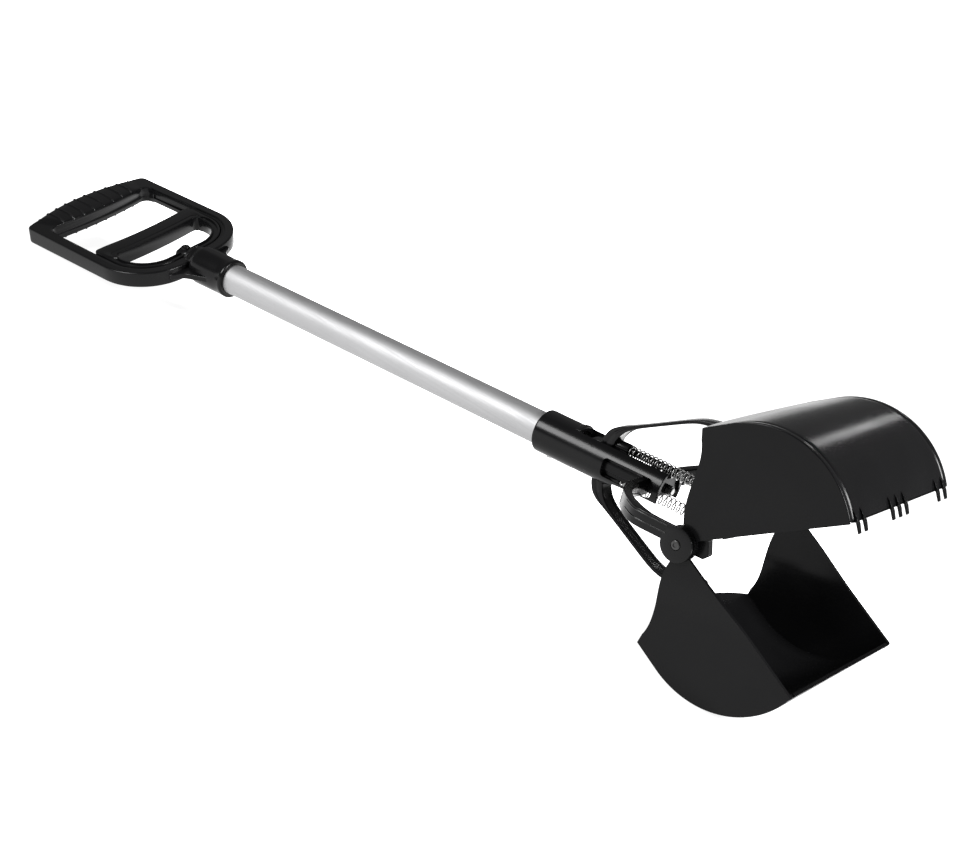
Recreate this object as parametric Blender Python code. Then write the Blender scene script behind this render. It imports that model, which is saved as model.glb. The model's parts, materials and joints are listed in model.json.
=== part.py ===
"""Long-handled pooper scooper: a D-grip with a squeeze trigger, an aluminium tube, a slotted
lower sleeve, a sliding yoke with two clamshell jaws and two fixed link arms.

Squeezing the trigger pulls the yoke, with both jaw pivots, up the tube. The fixed arms hold the
backs of the jaws, so the jaws turn shut; two compression springs push the yoke back and open them.

Everything is modelled in millimetres in the tube's own frame (X along the tube towards the jaws,
Y across, Z up) and scaled to metres when a piece is finished. The whole tool hangs from one empty
that lays it down on the lower jaw's belly and the grip's low corner, as it rests on a floor.
"""

import math

import bmesh
import bpy
from mathutils import Matrix, Vector

for old in list(bpy.data.objects):
    bpy.data.objects.remove(old, do_unlink=True)

MM = 0.001

# ---------------------------------------------------------------- driving dimensions, millimetres
GAP = 0.3  # running gap between neighbouring pieces

# tube and its two black sockets
TUBE_R, TUBE_BORE_R = 11.0, 10.0
SOCKET_X = -282.3  # lower edge of the handle's socket
TUBE_X0, TUBE_X1 = -325.0, 28.0

# D-grip, in its own frame: s is the distance back from the socket's lower edge, v is across
TWIST = math.radians(20.5)  # the grip is turned about the tube
GRIP_T = 12.0
D_S0, D_S1, D_HW, D_BULGE = 39.5, 171.0, 57.0, 11.0
D_BAND, D_R0 = 9.5, 41.0
D_INNER_S1 = 157.0
SOCKET_R, SOCKET_LEN = 14.5, 44.0

# trigger, nested in the D
TRIG_BAND = 6.6
TRIG_BAR_S0, TRIG_BAR_S1 = 89.0, 105.0
TRIG_GAP = 0.6

# lower sleeve
SLEEVE_R, SLEEVE_BORE_R, SLEEVE_X0, SLEEVE_X1 = 14.3, 11.3, 4.4, 102.0
TOP_SLOT_HW, TOP_SLOT_X = 7.7, 34.0
LOW_SLOT_FRONT_HW = 12.2  # the lower slot flares towards the front
SIDE_SLOT_HH, SIDE_SLOT_X0, SIDE_SLOT_X1 = 6.3, 59.4, 97.5

# jaws and linkage
PIVOT_X = 151.4
OPEN = math.radians(30.4)  # each jaw's opening at rest
TRAVEL = 27.2  # yoke travel that shuts the jaws
LINK_R = TRAVEL / (2.0 * math.sin(OPEN / 2.0))  # pivot to link pin
JAW_HW, JAW_T = 68.0, 2.4
JAW_LIP_X, JAW_ARC_R, JAW_ARC_X, JAW_ARC_Z = 105.0, 59.0, 46.0, 3.5
JAW_BACK_X, TONGUE = 27.5, 12.0
LIP_Z = 0.15  # each rim stands this far off the mouth's plane, so the shut jaws just miss
EAR_R = 10.5
REAR_EDGE = [(25.6, 56.0, 0), (21.9, 42.5, 12), (7.0, 22.0, 20)]  # concave rear edge, with corner radii
LINK_PIN_R, PIVOT_R = 2.0, 2.5

# sliding yoke
CROSSBAR_X, CROSSBAR_T, YOKE_H = 88.0, 4.5, 11.0
ROD_R = 2.0
SLIDER_X0, SLIDER_HH = 56.2, 3.0
EYE_Y0, EYE_Y1 = 71.0, 73.4
ARM_RISE = 4.6  # each yoke arm's strip climbs this far on its way out to the eye

# return springs
SPRING_OD, SPRING_WIRE, SPRING_TURNS = 8.0, 1.0, 22
SPRING_X0, SPRING_X1 = 68.9, 146.9
UPPER_SPRING_Z, LOWER_SPRING_Z = (12.3, 11.6), (-8.0, -7.4)  # centre height at each end

# ---------------------------------------------------------------- scene, materials, hierarchy
scene = bpy.context.scene
PARTS = bpy.data.collections.new("pooper_scooper")
scene.collection.children.link(PARTS)


def material(name, rgb, roughness, metallic):
    mat = bpy.data.materials.new(name)
    mat.use_nodes = True
    shader = mat.node_tree.nodes["Principled BSDF"]
    shader.inputs["Base Color"].default_value = (*rgb, 1.0)
    shader.inputs["Roughness"].default_value = roughness
    shader.inputs["Metallic"].default_value = metallic
    return mat


BLACK = material("black_plastic", (0.012, 0.012, 0.013), 0.38, 0.0)
ALU = material("satin_aluminium", (0.62, 0.63, 0.64), 0.3, 1.0)
STEEL = material("zinc_steel", (0.68, 0.68, 0.66), 0.28, 1.0)
DARK_STEEL = material("black_screws", (0.02, 0.02, 0.02), 0.35, 0.6)
NYLON = material("white_nylon", (0.75, 0.74, 0.70), 0.5, 0.0)


def empty(name, parent, location=(0, 0, 0), turn=(0, 0, 0)):
    ob = bpy.data.objects.new(name, None)
    ob.empty_display_size = 0.02
    scene.collection.objects.link(ob)
    ob.parent = parent
    ob.location = Vector(location) * MM
    ob.rotation_euler = turn
    return ob


tool = empty("tool_frame", None)
grip_frame = empty("grip_frame", tool, (SOCKET_X, 0, 0), (TWIST, 0, 0))
yoke_frame = empty("yoke_slide", tool, (PIVOT_X, 0, 0))
upper_frame = empty("upper_jaw_pivot", yoke_frame, (0, 0, 0), (0, -OPEN, 0))
lower_frame = empty("lower_jaw_pivot", yoke_frame, (0, 0, 0), (0, OPEN, 0))


# ---------------------------------------------------------------- shape helpers (millimetres)
def face_outward(bm):
    bmesh.ops.recalc_face_normals(bm, faces=bm.faces)
    if bm.calc_volume(signed=True) < 0:
        bmesh.ops.reverse_faces(bm, faces=bm.faces)


def from_bmesh(bm, name="work"):
    mesh = bpy.data.meshes.new(name)
    face_outward(bm)
    bm.to_mesh(mesh)
    bm.free()
    ob = bpy.data.objects.new(name, mesh)
    scene.collection.objects.link(ob)
    return ob


def evaluated(ob):
    graph = bpy.context.evaluated_depsgraph_get()
    graph.update()
    return bpy.data.meshes.new_from_object(ob.evaluated_get(graph), depsgraph=graph)


def cylinder(axis, start, end, radius, centre=(0, 0, 0), n=24, radius_end=None, phase=0.0):
    """A cylinder or cone along X, Y or Z from start to end, about a line through centre."""
    bm = bmesh.new()
    length = end - start
    bmesh.ops.create_cone(bm, cap_ends=True, cap_tris=False, segments=n, radius1=radius,
                          radius2=radius if radius_end is None else radius_end, depth=length)
    turn = {"X": Matrix.Rotation(math.pi / 2, 4, "Y"), "Y": Matrix.Rotation(-math.pi / 2, 4, "X"),
            "Z": Matrix.Identity(4)}[axis]
    place = Vector(centre)
    place["XYZ".index(axis)] = (start + end) / 2
    bm.transform(Matrix.Translation(place) @ turn @ Matrix.Rotation(phase, 4, "Z"))
    return from_bmesh(bm)


def ring(radius, n):
    return [(radius * math.cos(2 * math.pi * k / n), radius * math.sin(2 * math.pi * k / n)) for k in range(n)]


def pipe(x0, x1, radius, bore, n):
    """A pipe along X: a flat annulus extruded to its length."""
    return moved(plate(ring(radius, n), x0, x1, holes=[ring(bore, n)]), Matrix.Rotation(math.pi / 2, 4, "Y"))


def box(x0, x1, y0, y1, z0, z1):
    bm = bmesh.new()
    bmesh.ops.create_cube(bm, size=1.0)
    bm.transform(Matrix.Translation(((x0 + x1) / 2, (y0 + y1) / 2, (z0 + z1) / 2))
                 @ Matrix.Diagonal((x1 - x0, y1 - y0, z1 - z0, 1)))
    return from_bmesh(bm)


def plate(outline, low, high, plane="XY", holes=()):
    """A flat outline extruded from low to high: XY outlines along Z, XZ outlines along Y."""
    curve = bpy.data.curves.new("outline", "CURVE")
    curve.dimensions = "2D"
    curve.fill_mode = "BOTH"
    curve.extrude = (high - low) / 2
    for ring in (outline, *holes):
        spline = curve.splines.new("POLY")
        spline.points.add(len(ring) - 1)
        for point, (a, b) in zip(spline.points, ring):
            point.co = (a, b, 0, 1)
        spline.use_cyclic_u = True
    ob = bpy.data.objects.new("outline", curve)
    scene.collection.objects.link(ob)
    mesh = evaluated(ob)
    bpy.data.objects.remove(ob, do_unlink=True)
    bm = bmesh.new()
    bm.from_mesh(mesh)
    bmesh.ops.remove_doubles(bm, verts=bm.verts, dist=1e-4)
    bm.transform(Matrix.Translation((0, 0, (low + high) / 2)))
    if plane == "XZ":  # outline x, y become X, Z and the thickness runs along Y
        bm.transform(Matrix.Translation((0, low + high, 0)) @ Matrix.Rotation(math.pi / 2, 4, "X"))
    return from_bmesh(bm)


def boolean(ob, others, operation):
    for other in others:
        mod = ob.modifiers.new("join_or_cut", "BOOLEAN")
        mod.operation = operation
        mod.solver = "EXACT"
        mod.object = other
        mesh = evaluated(ob)
        ob.modifiers.clear()
        ob.data = mesh
        bpy.data.objects.remove(other, do_unlink=True)
    return ob


def join(ob, *others):
    return boolean(ob, others, "UNION")


def cut(ob, *others):
    return boolean(ob, others, "DIFFERENCE")


def fillet(corners, step=15.0):
    """A polygon of (x, y, radius) corners as points, with each corner rounded by its radius."""
    points = []
    count = len(corners)
    for i, (x, y, r) in enumerate(corners):
        here = Vector((x, y))
        if r <= 0:
            points.append((x, y))
            continue
        a = (Vector(corners[i - 1][:2]) - here).normalized()
        b = (Vector(corners[(i + 1) % count][:2]) - here).normalized()
        half = a.angle(b) / 2
        centre = here + (a + b).normalized() * (r / math.sin(half))
        start = here + a * (r / math.tan(half)) - centre
        end = here + b * (r / math.tan(half)) - centre
        sweep = math.atan2(start.x * end.y - start.y * end.x, start.dot(end))
        steps = max(1, int(math.ceil(abs(math.degrees(sweep)) / step)))
        for k in range(steps + 1):
            t = sweep * k / steps
            points.append((centre.x + start.x * math.cos(t) - start.y * math.sin(t),
                           centre.y + start.x * math.sin(t) + start.y * math.cos(t)))
    return points


def arc(cx, cy, r, a0, a1, steps):
    """Points on a circle from angle a0 to a1, in degrees."""
    return [(cx + r * math.cos(math.radians(a0 + (a1 - a0) * k / steps)),
             cy + r * math.sin(math.radians(a0 + (a1 - a0) * k / steps))) for k in range(steps + 1)]


def moved(ob, matrix):
    """The same shape at another place; the first object goes."""
    bm = bmesh.new()
    bm.from_mesh(ob.data)
    bm.transform(matrix)
    bpy.data.objects.remove(ob, do_unlink=True)
    return from_bmesh(bm)


def mirrored(ob, axis):
    """A copy mirrored across the plane through the origin, normal to the axis."""
    flip = Matrix.Diagonal([-1 if name == axis else 1 for name in "XYZ"] + [1])
    bm = bmesh.new()
    bm.from_mesh(ob.data)
    bm.transform(flip)
    bmesh.ops.reverse_faces(bm, faces=bm.faces)
    return from_bmesh(bm)


def finish(name, ob, mat, parent, origin=(0, 0, 0)):
    """Names a piece, cleans and scales its mesh, and hangs it on its frame, origin where it pivots."""
    bm = bmesh.new()
    bm.from_mesh(ob.data)
    bmesh.ops.remove_doubles(bm, verts=bm.verts, dist=2e-4)
    bmesh.ops.dissolve_degenerate(bm, edges=bm.edges, dist=1e-4)
    bm.transform(Matrix.Scale(MM, 4) @ Matrix.Translation(-Vector(origin)))
    face_outward(bm)
    mesh = bpy.data.meshes.new(name)
    bm.to_mesh(mesh)
    bm.free()
    bpy.data.objects.remove(ob, do_unlink=True)
    piece = bpy.data.objects.new(name, mesh)
    mesh.materials.append(mat)
    mesh.shade_smooth()
    mesh.set_sharp_from_angle(angle=math.radians(35))
    PARTS.objects.link(piece)
    piece.parent = parent
    piece.location = Vector(origin) * MM
    return piece


# ---------------------------------------------------------------- D-grip with its socket
# outlines in the grip's frame: x = -s, y = v
def d_outline(s0, s1, hw, r0, r1, bulge, inward=False):
    corners = [(-s0, -hw, r0), (-s1, -hw, r1)]
    reach = hw - r1 - 2
    for k in range(-4, 5):
        v = reach * k / 5.0
        swell = bulge * (1 - (v / (hw * 0.97)) ** 2)
        corners.append((-(s1 - swell) if inward else -(s1 + swell), v, 0))
    corners += [(-s1, hw, r1), (-s0, hw, r0)]
    return fillet(corners, 13)


D_IN = D_HW - D_BAND
frame = plate(d_outline(D_S0, D_S1, D_HW, D_R0, 5, D_BULGE), -GRIP_T / 2, GRIP_T / 2)
grip_bar = [(-(D_INNER_S1 + 5.0), -40, 3)] + [
    (-(D_S1 + D_BULGE * (1 - (v / 55.0) ** 2) - 1.5), v, 0) for v in (-40, -26, -13, 0, 13, 26, 40)
] + [(-(D_INNER_S1 + 5.0), 40, 3)]
frame = join(frame, plate(fillet(grip_bar), -GRIP_T / 2 - 2.2, GRIP_T / 2 + 2.2))
socket = cylinder("X", -SOCKET_LEN, 0, SOCKET_R, n=32)
socket = join(socket, cylinder("X", -SOCKET_LEN - 7, -SOCKET_LEN + 0.5, 8.0, n=20, radius_end=SOCKET_R))
frame = join(frame, socket)
frame = join(frame, cylinder("X", -D_S0 - D_BAND - 4, -SOCKET_LEN + 2, 7.6, n=20))
for side in (-1, 1):  # webs between the socket and the D
    web = [(-20, side * 13.0), (-D_S0 - 2, side * 13.0), (-D_S0 - 5, side * 33.0), (-D_S0 - 0.5, side * 30.0),
           (-D_S0 + 5, side * 20.0)]
    frame = join(frame, plate(web, -1.8, 1.8))
frame = cut(frame, plate(d_outline(D_S0 + D_BAND, D_INNER_S1, D_IN, D_R0 - D_BAND, 6, 3.0, inward=True), -20, 20))
# groove that the trigger's side rails run in
frame = cut(frame, plate(fillet([(-D_S0 - D_BAND + 2.0, -D_IN - 2.0, D_R0 - D_BAND + 2.0), (-146, -D_IN - 2.0, 1),
                                 (-146, D_IN + 2.0, 1), (-D_S0 - D_BAND + 2.0, D_IN + 2.0, D_R0 - D_BAND + 2.0)], 13),
                         -1.7, 1.7))
frame = cut(frame, cylinder("X", TUBE_X0 - SOCKET_X - GAP - 0.2, 5, TUBE_R + GAP, n=32))
frame = cut(frame, cylinder("X", -70, -30, ROD_R + 0.7, n=12))
frame = cut(frame, cylinder("Z", -30, 0, 2.3, centre=(-22, 0, 0), n=12))
finish("handle_frame", frame, BLACK, grip_frame)

# screw that holds the tube in the socket, driven from below
screw = join(cylinder("Z", -16.0, -SOCKET_R - GAP, 3.6, centre=(-22, 0, 0), n=16),
             cylinder("Z", -SOCKET_R - GAP - 0.2, -8.6, 1.9, centre=(-22, 0, 0), n=12))
finish("socket_screw", screw, DARK_STEEL, grip_frame, (-22, 0, -SOCKET_R))

# ---------------------------------------------------------------- trigger
T_HW = D_IN - TRIG_GAP
T_S0 = D_S0 + D_BAND + TRIG_GAP
T_R0 = D_R0 - D_BAND - TRIG_GAP
bow = lambda v: 2.0 * (1 - (v / 38.0) ** 2)  # the crossbar bows towards the tube
outer = [(-T_S0, -T_HW, T_R0), (-TRIG_BAR_S1, -T_HW, 4)]
outer += [(-TRIG_BAR_S1 + bow(v), v, 0) for v in (-36, -24, -12, 0, 12, 24, 36)]
outer += [(-TRIG_BAR_S1, T_HW, 4), (-T_S0, T_HW, T_R0)]
inner = [(-T_S0 - TRIG_BAND, -T_HW + TRIG_BAND, T_R0 - TRIG_BAND), (-TRIG_BAR_S0, -T_HW + TRIG_BAND, 4)]
inner += [(-TRIG_BAR_S0 + bow(v), v, 0) for v in (-30, -20, -10, 0, 10, 20, 30)]
inner += [(-TRIG_BAR_S0, T_HW - TRIG_BAND, 4), (-T_S0 - TRIG_BAND, T_HW - TRIG_BAND, T_R0 - TRIG_BAND)]
trigger = plate(fillet(outer, 13), -GRIP_T / 2, GRIP_T / 2)
rail = [(-T_S0 + 1.7, -T_HW - 1.7, T_R0 + 1.7), (-TRIG_BAR_S1 + 8, -T_HW - 1.7, 1),
        (-TRIG_BAR_S1 + 8, T_HW + 1.7, 1), (-T_S0 + 1.7, T_HW + 1.7, T_R0 + 1.7)]
trigger = join(trigger, plate(fillet(rail, 13), -1.25, 1.25))
trigger = cut(trigger, plate(fillet(inner, 13), -20, 20))
trigger = join(trigger, cylinder("X", -T_S0 - TRIG_BAND - 3.4, -T_S0 - 0.1, 7.4, n=20))
trigger = cut(trigger, cylinder("X", -70, -30, ROD_R + 0.4, n=12))
finish("trigger", trigger, BLACK, grip_frame)

# ---------------------------------------------------------------- tube, rod and guides
tube = pipe(TUBE_X0, TUBE_X1, TUBE_R, TUBE_BORE_R, 32)
tube = cut(tube, cylinder("Z", -20, 0, 2.4, centre=(14, 0, 0), n=12))
hole = moved(cylinder("Z", -20, 0, 2.4, centre=(-22, 0, 0), n=12),
             Matrix.Translation((SOCKET_X, 0, 0)) @ Matrix.Rotation(TWIST, 4, "X"))
finish("main_tube", cut(tube, hole), ALU, tool)

for name, x0 in (("rear_rod_guide", TUBE_X0 + 1), ("front_rod_guide", TUBE_X1 - 7)):
    guide = cut(cylinder("X", x0, x0 + 6, TUBE_BORE_R - GAP, n=32), cylinder("X", x0 - 1, x0 + 7, ROD_R + 0.35, n=12))
    finish(name, guide, NYLON, tool)

ROD_X0 = SOCKET_X - T_S0 - TRIG_BAND - 3.4 - 4.6
finish("pull_rod", cylinder("X", ROD_X0, 104.6, ROD_R, n=12), STEEL, yoke_frame, (0, 0, 0))
pull_rod = bpy.data.objects["pull_rod"]
pull_rod.location = Vector((-PIVOT_X, 0, 0)) * MM


def nut(name, x0, x1, across, parent, shift, mat):
    body = cylinder("X", x0, x1, across / math.sqrt(3.0), n=6, phase=math.radians(30))
    body = cut(body, cylinder("X", x0 - 1, x1 + 1, ROD_R + 0.32, n=12))
    piece = finish(name, body, mat, parent, (0, 0, 0))
    piece.location = Vector(shift) * MM
    return piece


REAR_NUT_X = SOCKET_X - T_S0 - TRIG_BAND - 3.4 - GAP
nut("rod_rear_nut", REAR_NUT_X - 3.2, REAR_NUT_X, 7.0, yoke_frame, (-PIVOT_X, 0, 0), STEEL)
nut("rod_front_nut", 100.6, 103.6, 6.0, yoke_frame, (-PIVOT_X, 0, 0), DARK_STEEL)

# ---------------------------------------------------------------- lower sleeve
sleeve = cylinder("X", SLEEVE_X0, SLEEVE_X1, SLEEVE_R, n=32)
sleeve = cut(sleeve, cylinder("X", -5, SLEEVE_X1 + 5, SLEEVE_BORE_R, n=32))
slot = fillet([(TOP_SLOT_X, -TOP_SLOT_HW, 3.5), (SLEEVE_X1 + 5, -TOP_SLOT_HW, 0), (SLEEVE_X1 + 5, TOP_SLOT_HW, 0),
               (TOP_SLOT_X, TOP_SLOT_HW, 3.5)], 22)
sleeve = cut(sleeve, plate(slot, 0, 20))
low_edge = [(TOP_SLOT_X, -TOP_SLOT_HW, 3.5), (62.0, -TOP_SLOT_HW, 8), (69.0, -11.4, 6), (86.0, -LOW_SLOT_FRONT_HW, 0),
            (SLEEVE_X1 + 5, -LOW_SLOT_FRONT_HW, 0)]
low_slot = fillet(low_edge + [(x, -y, r) for x, y, r in reversed(low_edge)], 22)
sleeve = cut(sleeve, plate(low_slot, -20, 0))
side = fillet([(SIDE_SLOT_X0, -SIDE_SLOT_HH, 2), (SIDE_SLOT_X1, -SIDE_SLOT_HH, 2), (SIDE_SLOT_X1, SIDE_SLOT_HH, 2),
               (SIDE_SLOT_X0, SIDE_SLOT_HH, 2)], 22)
sleeve = cut(sleeve, plate(side, -20, 20, plane="XZ"))
ROOT_PIN_X, ROOT_PIN_Z, ROOT_PIN_R = 47.5, 7.0, 1.5
for z in (ROOT_PIN_Z, -ROOT_PIN_Z):
    sleeve = cut(sleeve, cylinder("Y", -20, 20, ROOT_PIN_R + 0.35, centre=(ROOT_PIN_X, 0, z), n=12))
sleeve = cut(sleeve, cylinder("Z", -20, 0, 2.3, centre=(14, 0, 0), n=12))
finish("lower_sleeve", sleeve, BLACK, tool)

screw = join(cylinder("Z", -16.4, -SLEEVE_R - GAP, 3.6, centre=(14, 0, 0), n=16),
             cylinder("Z", -SLEEVE_R - GAP - 0.2, -8.6, 1.9, centre=(14, 0, 0), n=12))
finish("sleeve_screw", screw, DARK_STEEL, tool, (14, 0, -SLEEVE_R))

# ---------------------------------------------------------------- fixed link arms
LINK_A = math.pi / 2 + OPEN / 2  # direction of the open jaw's link pin, from the pivot
PIN_X, PIN_Z = PIVOT_X + LINK_R * math.cos(LINK_A), LINK_R * math.sin(LINK_A)
PIN_RISE = LINK_R * (1 - math.cos(OPEN / 2))
ARM_HW, EYE_R = 5.8, 4.6
ARM_T = 2.6


def link_arm(spring_z):
    """The upper arm: a root held in the sleeve's slot, a curved web and a strip out to its eye."""
    outer_edge = [(42.5, 3.3), (42.5, 11.0), (49.8, 12.0), (51.2, 17.0), (53.4, 21.4), (57.6, 25.0), (64.0, 27.8),
                  (78.0, 34.8), (96.0, 44.2), (104.0, 48.3), (110.0, 50.8), (117.0, 52.2), (PIN_X - 3, PIN_Z + EYE_R)]
    inner_edge = [(PIN_X - 3, PIN_Z + EYE_R - ARM_T - 1.2), (117.6, 49.0), (111.0, 47.9), (105.2, 45.8), (97.3, 41.9),
                  (80.5, 33.1), (70.5, 27.6), (64.9, 24.2), (61.0, 19.6), (59.3, 15.8), (58.8, 12.2), (55.2, 9.0),
                  (55.2, 3.3)]
    arm = plate(outer_edge + inner_edge, -ARM_HW, ARM_HW, plane="XZ")
    eye = join(cylinder("Y", -ARM_HW, ARM_HW, EYE_R, centre=(PIN_X, 0, PIN_Z), n=18),
               cylinder("Y", -ARM_HW, ARM_HW, EYE_R, centre=(PIN_X, 0, PIN_Z + PIN_RISE), n=18))
    arm = join(arm, eye)
    arm = join(arm, cylinder("X", 54.0, SPRING_X0 - GAP, 4.1, centre=(0, 0, spring_z), n=16))
    arm = join(arm, cylinder("X", 60.0, SPRING_X0 + 4.5, 2.5, centre=(0, 0, spring_z), n=12))
    slot_hole = join(cylinder("Y", -20, 20, LINK_PIN_R + 0.35, centre=(PIN_X, 0, PIN_Z), n=12),
                     cylinder("Y", -20, 20, LINK_PIN_R + 0.35, centre=(PIN_X, 0, PIN_Z + PIN_RISE), n=12))
    arm = cut(arm, slot_hole)
    return cut(arm, cylinder("Y", -20, 20, ROOT_PIN_R + 0.35, centre=(ROOT_PIN_X, 0, ROOT_PIN_Z), n=12))


upper_arm = link_arm(UPPER_SPRING_Z[0])
lower_arm = moved(link_arm(-LOWER_SPRING_Z[0]), Matrix.Diagonal((1, 1, -1, 1)))
finish("upper_link_arm", upper_arm, BLACK, tool)
finish("lower_link_arm", lower_arm, BLACK, tool)
for name, z in (("upper_root_pin", ROOT_PIN_Z), ("lower_root_pin", -ROOT_PIN_Z)):
    finish(name, cylinder("Y", -11.9, 11.9, ROOT_PIN_R, centre=(ROOT_PIN_X, 0, z), n=12), DARK_STEEL, tool,
           (ROOT_PIN_X, 0, z))

# ---------------------------------------------------------------- sliding yoke
CLAMP_GAP = 0.3
CBX0, CBX1 = CROSSBAR_X, CROSSBAR_X + CROSSBAR_T


def clamp(x0, x1):
    """One half of the carriage: a flat-topped slug in the sleeve's bore, clear of both springs."""
    slug = cylinder("X", x0, x1, SLEEVE_BORE_R - GAP, n=32)
    for z0, z1 in ((7.4, 20), (-20, -3.4)):
        slug = cut(slug, box(x0 - 1, x1 + 1, -20, 20, z0, z1))
    return cut(slug, cylinder("X", x0 - 1, x1 + 1, ROD_R + 0.35, n=12))


# the rear half carries a long flat slider that keeps the yoke straight and passes between the arms' roots
slider = cylinder("X", SLIDER_X0, CBX0 - GAP - 2.0, SLEEVE_BORE_R - GAP, n=32)
for z0, z1 in ((SLIDER_HH, 20), (-20, -SLIDER_HH)):
    slider = cut(slider, box(SLIDER_X0 - 1, CBX0, -20, 20, z0, z1))
slider = cut(slider, cylinder("X", SLIDER_X0 - 1, CBX0, ROD_R + 0.35, n=12))
piece = finish("carriage_rear", join(clamp(CBX0 - GAP - 4.8, CBX0 - GAP), slider), BLACK, yoke_frame)
piece.location = Vector((-PIVOT_X, 0, 0)) * MM
piece = finish("carriage_front", clamp(CBX1 + GAP, 100.3), BLACK, yoke_frame)
piece.location = Vector((-PIVOT_X, 0, 0)) * MM

def arm_rise(y):
    return ARM_RISE * min(max((abs(y) - 25.0) / (69.0 - 25.0), 0.0), 1.0)


def yoke_arm():
    """The far arm (+Y): crossbar through the side slot, a wide bend and a strip out to the pivot eye."""
    back = [(CBX0, 0.2), (CBX0, 23.0), (89.5, 33.0), (95.9, 47.3), (102.9, 57.4), (110.0, 65.3), (117.5, 71.5),
            (123.8, EYE_Y1 - 0.1), (134.0, EYE_Y1 - 0.1), (143.0, EYE_Y1 - 0.1), (PIVOT_X - 1.0, EYE_Y1 - 0.1)]
    front = [(PIVOT_X - 1.0, EYE_Y0 + 0.1), (141.0, EYE_Y0 + 0.1), (132.1, 70.6), (127.3, 69.2), (122.5, 67.1), (116.5, 63.3),
             (110.8, 58.7), (104.4, 50.7), (99.1, 40.8), (94.0, 27.2), (CBX1, 22.0), (CBX1, 0.2)]
    strip = plate(back + front, -YOKE_H / 2, YOKE_H / 2)
    bm = bmesh.new()
    bm.from_mesh(strip.data)
    bmesh.ops.triangulate(bm, faces=bm.faces)
    for vertex in bm.verts:
        vertex.co.z += arm_rise(vertex.co.y)
    bpy.data.objects.remove(strip, do_unlink=True)
    arm = from_bmesh(bm)
    arm = join(arm, cylinder("Y", EYE_Y0, EYE_Y1, EAR_R, centre=(PIVOT_X, 0, 0), n=28))
    arm = cut(arm, cylinder("Y", 60, 90, PIVOT_R + 0.35, centre=(PIVOT_X, 0, 0), n=16))
    for z0, z1 in ((7.4, 20), (-20, -3.4)):  # the tongue inside the sleeve passes between the springs
        arm = cut(arm, box(CBX0 - 5, CBX1 + 5, -1, 7.2, z0, z1))
    return cut(arm, cylinder("X", CBX0 - 5, CBX1 + 5, ROD_R + 0.35, n=12))


far_arm = yoke_arm()
near_arm = mirrored(far_arm, "Y")
for name, ob in (("far_yoke_arm", far_arm), ("near_yoke_arm", near_arm)):
    piece = finish(name, ob, BLACK, yoke_frame)
    piece.location = Vector((-PIVOT_X, 0, 0)) * MM

# cross shaft through both pivots, with a screw in each end
shaft = cylinder("Y", -EYE_Y1 + 0.4, EYE_Y1 - 0.4, PIVOT_R, n=16)
for y0, y1 in ((-80, -EYE_Y1 + 9), (EYE_Y1 - 9, 80)):
    shaft = cut(shaft, cylinder("Y", y0, y1, 1.35, n=10))
finish("cross_shaft", shaft, STEEL, yoke_frame)
for name, sign in (("near_pivot_screw", -1), ("far_pivot_screw", 1)):
    y0, y1 = EYE_Y1 + GAP, EYE_Y1 + GAP + 1.2
    head = cylinder("Y", y0, y1, 3.2, n=18, radius_end=2.7)
    head = join(head, cylinder("Y", EYE_Y1 - 7.5, y0 + 0.2, 1.0, n=10))
    if sign < 0:
        other = mirrored(head, "Y")
        bpy.data.objects.remove(head, do_unlink=True)
        head = other
    finish(name, head, DARK_STEEL, yoke_frame, (0, sign * EYE_Y1, 0))

# saddle on the shaft that the springs push against
saddle = plate(fillet([(-4.2, -11.8, 1), (4.6, -6.0, 3), (4.6, 8.0, 3), (-4.2, 16.0, 1)], 22), -6.0, 6.0, plane="XZ")
for z in (UPPER_SPRING_Z[1], LOWER_SPRING_Z[1]):
    saddle = join(saddle, cylinder("X", -8.8, -3.6, 2.3, centre=(0, 0, z), n=12))
saddle = cut(saddle, cylinder("Y", -10, 10, PIVOT_R + 0.35, n=16))
finish("spring_saddle", saddle, BLACK, yoke_frame)


def spring(z0, z1):
    """A compression spring from the arm's seat to the saddle, its ends closed flat against both."""
    curve = bpy.data.curves.new("spring", "CURVE")
    curve.dimensions = "3D"
    curve.bevel_depth = SPRING_WIRE / 2
    curve.bevel_resolution = 0
    curve.use_fill_caps = True
    per_turn = 9
    count = SPRING_TURNS * per_turn + 1
    line = curve.splines.new("POLY")
    line.points.add(count - 1)
    r = (SPRING_OD - SPRING_WIRE) / 2
    lead = SPRING_WIRE / 2 + 0.15
    for k in range(count):
        t = k / (count - 1)
        a = 2 * math.pi * SPRING_TURNS * t
        x = SPRING_X0 + lead + (SPRING_X1 - SPRING_X0 - 2 * lead) * t
        z = z0 + (z1 - z0) * t
        line.points[k].co = (x, r * math.sin(a), z + r * math.cos(a), 1)
    ob = bpy.data.objects.new("spring", curve)
    scene.collection.objects.link(ob)
    mesh = evaluated(ob)
    bpy.data.objects.remove(ob, do_unlink=True)
    bm = bmesh.new()
    bm.from_mesh(mesh)
    bmesh.ops.remove_doubles(bm, verts=bm.verts, dist=1e-3)
    return from_bmesh(bm)


finish("upper_spring", spring(*UPPER_SPRING_Z), STEEL, tool)
finish("lower_spring", spring(*LOWER_SPRING_Z), STEEL, tool)

# ---------------------------------------------------------------- jaws
# each jaw is drawn in its own closed frame: pivot at the origin, mouth edge along +X, bowl at +Z


def bowl_curve(inset, steps):
    """The bowl's section from the lip, round the belly, to the straight back."""
    return arc(JAW_ARC_X, JAW_ARC_Z, JAW_ARC_R - inset, 0, 90, steps)


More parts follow.
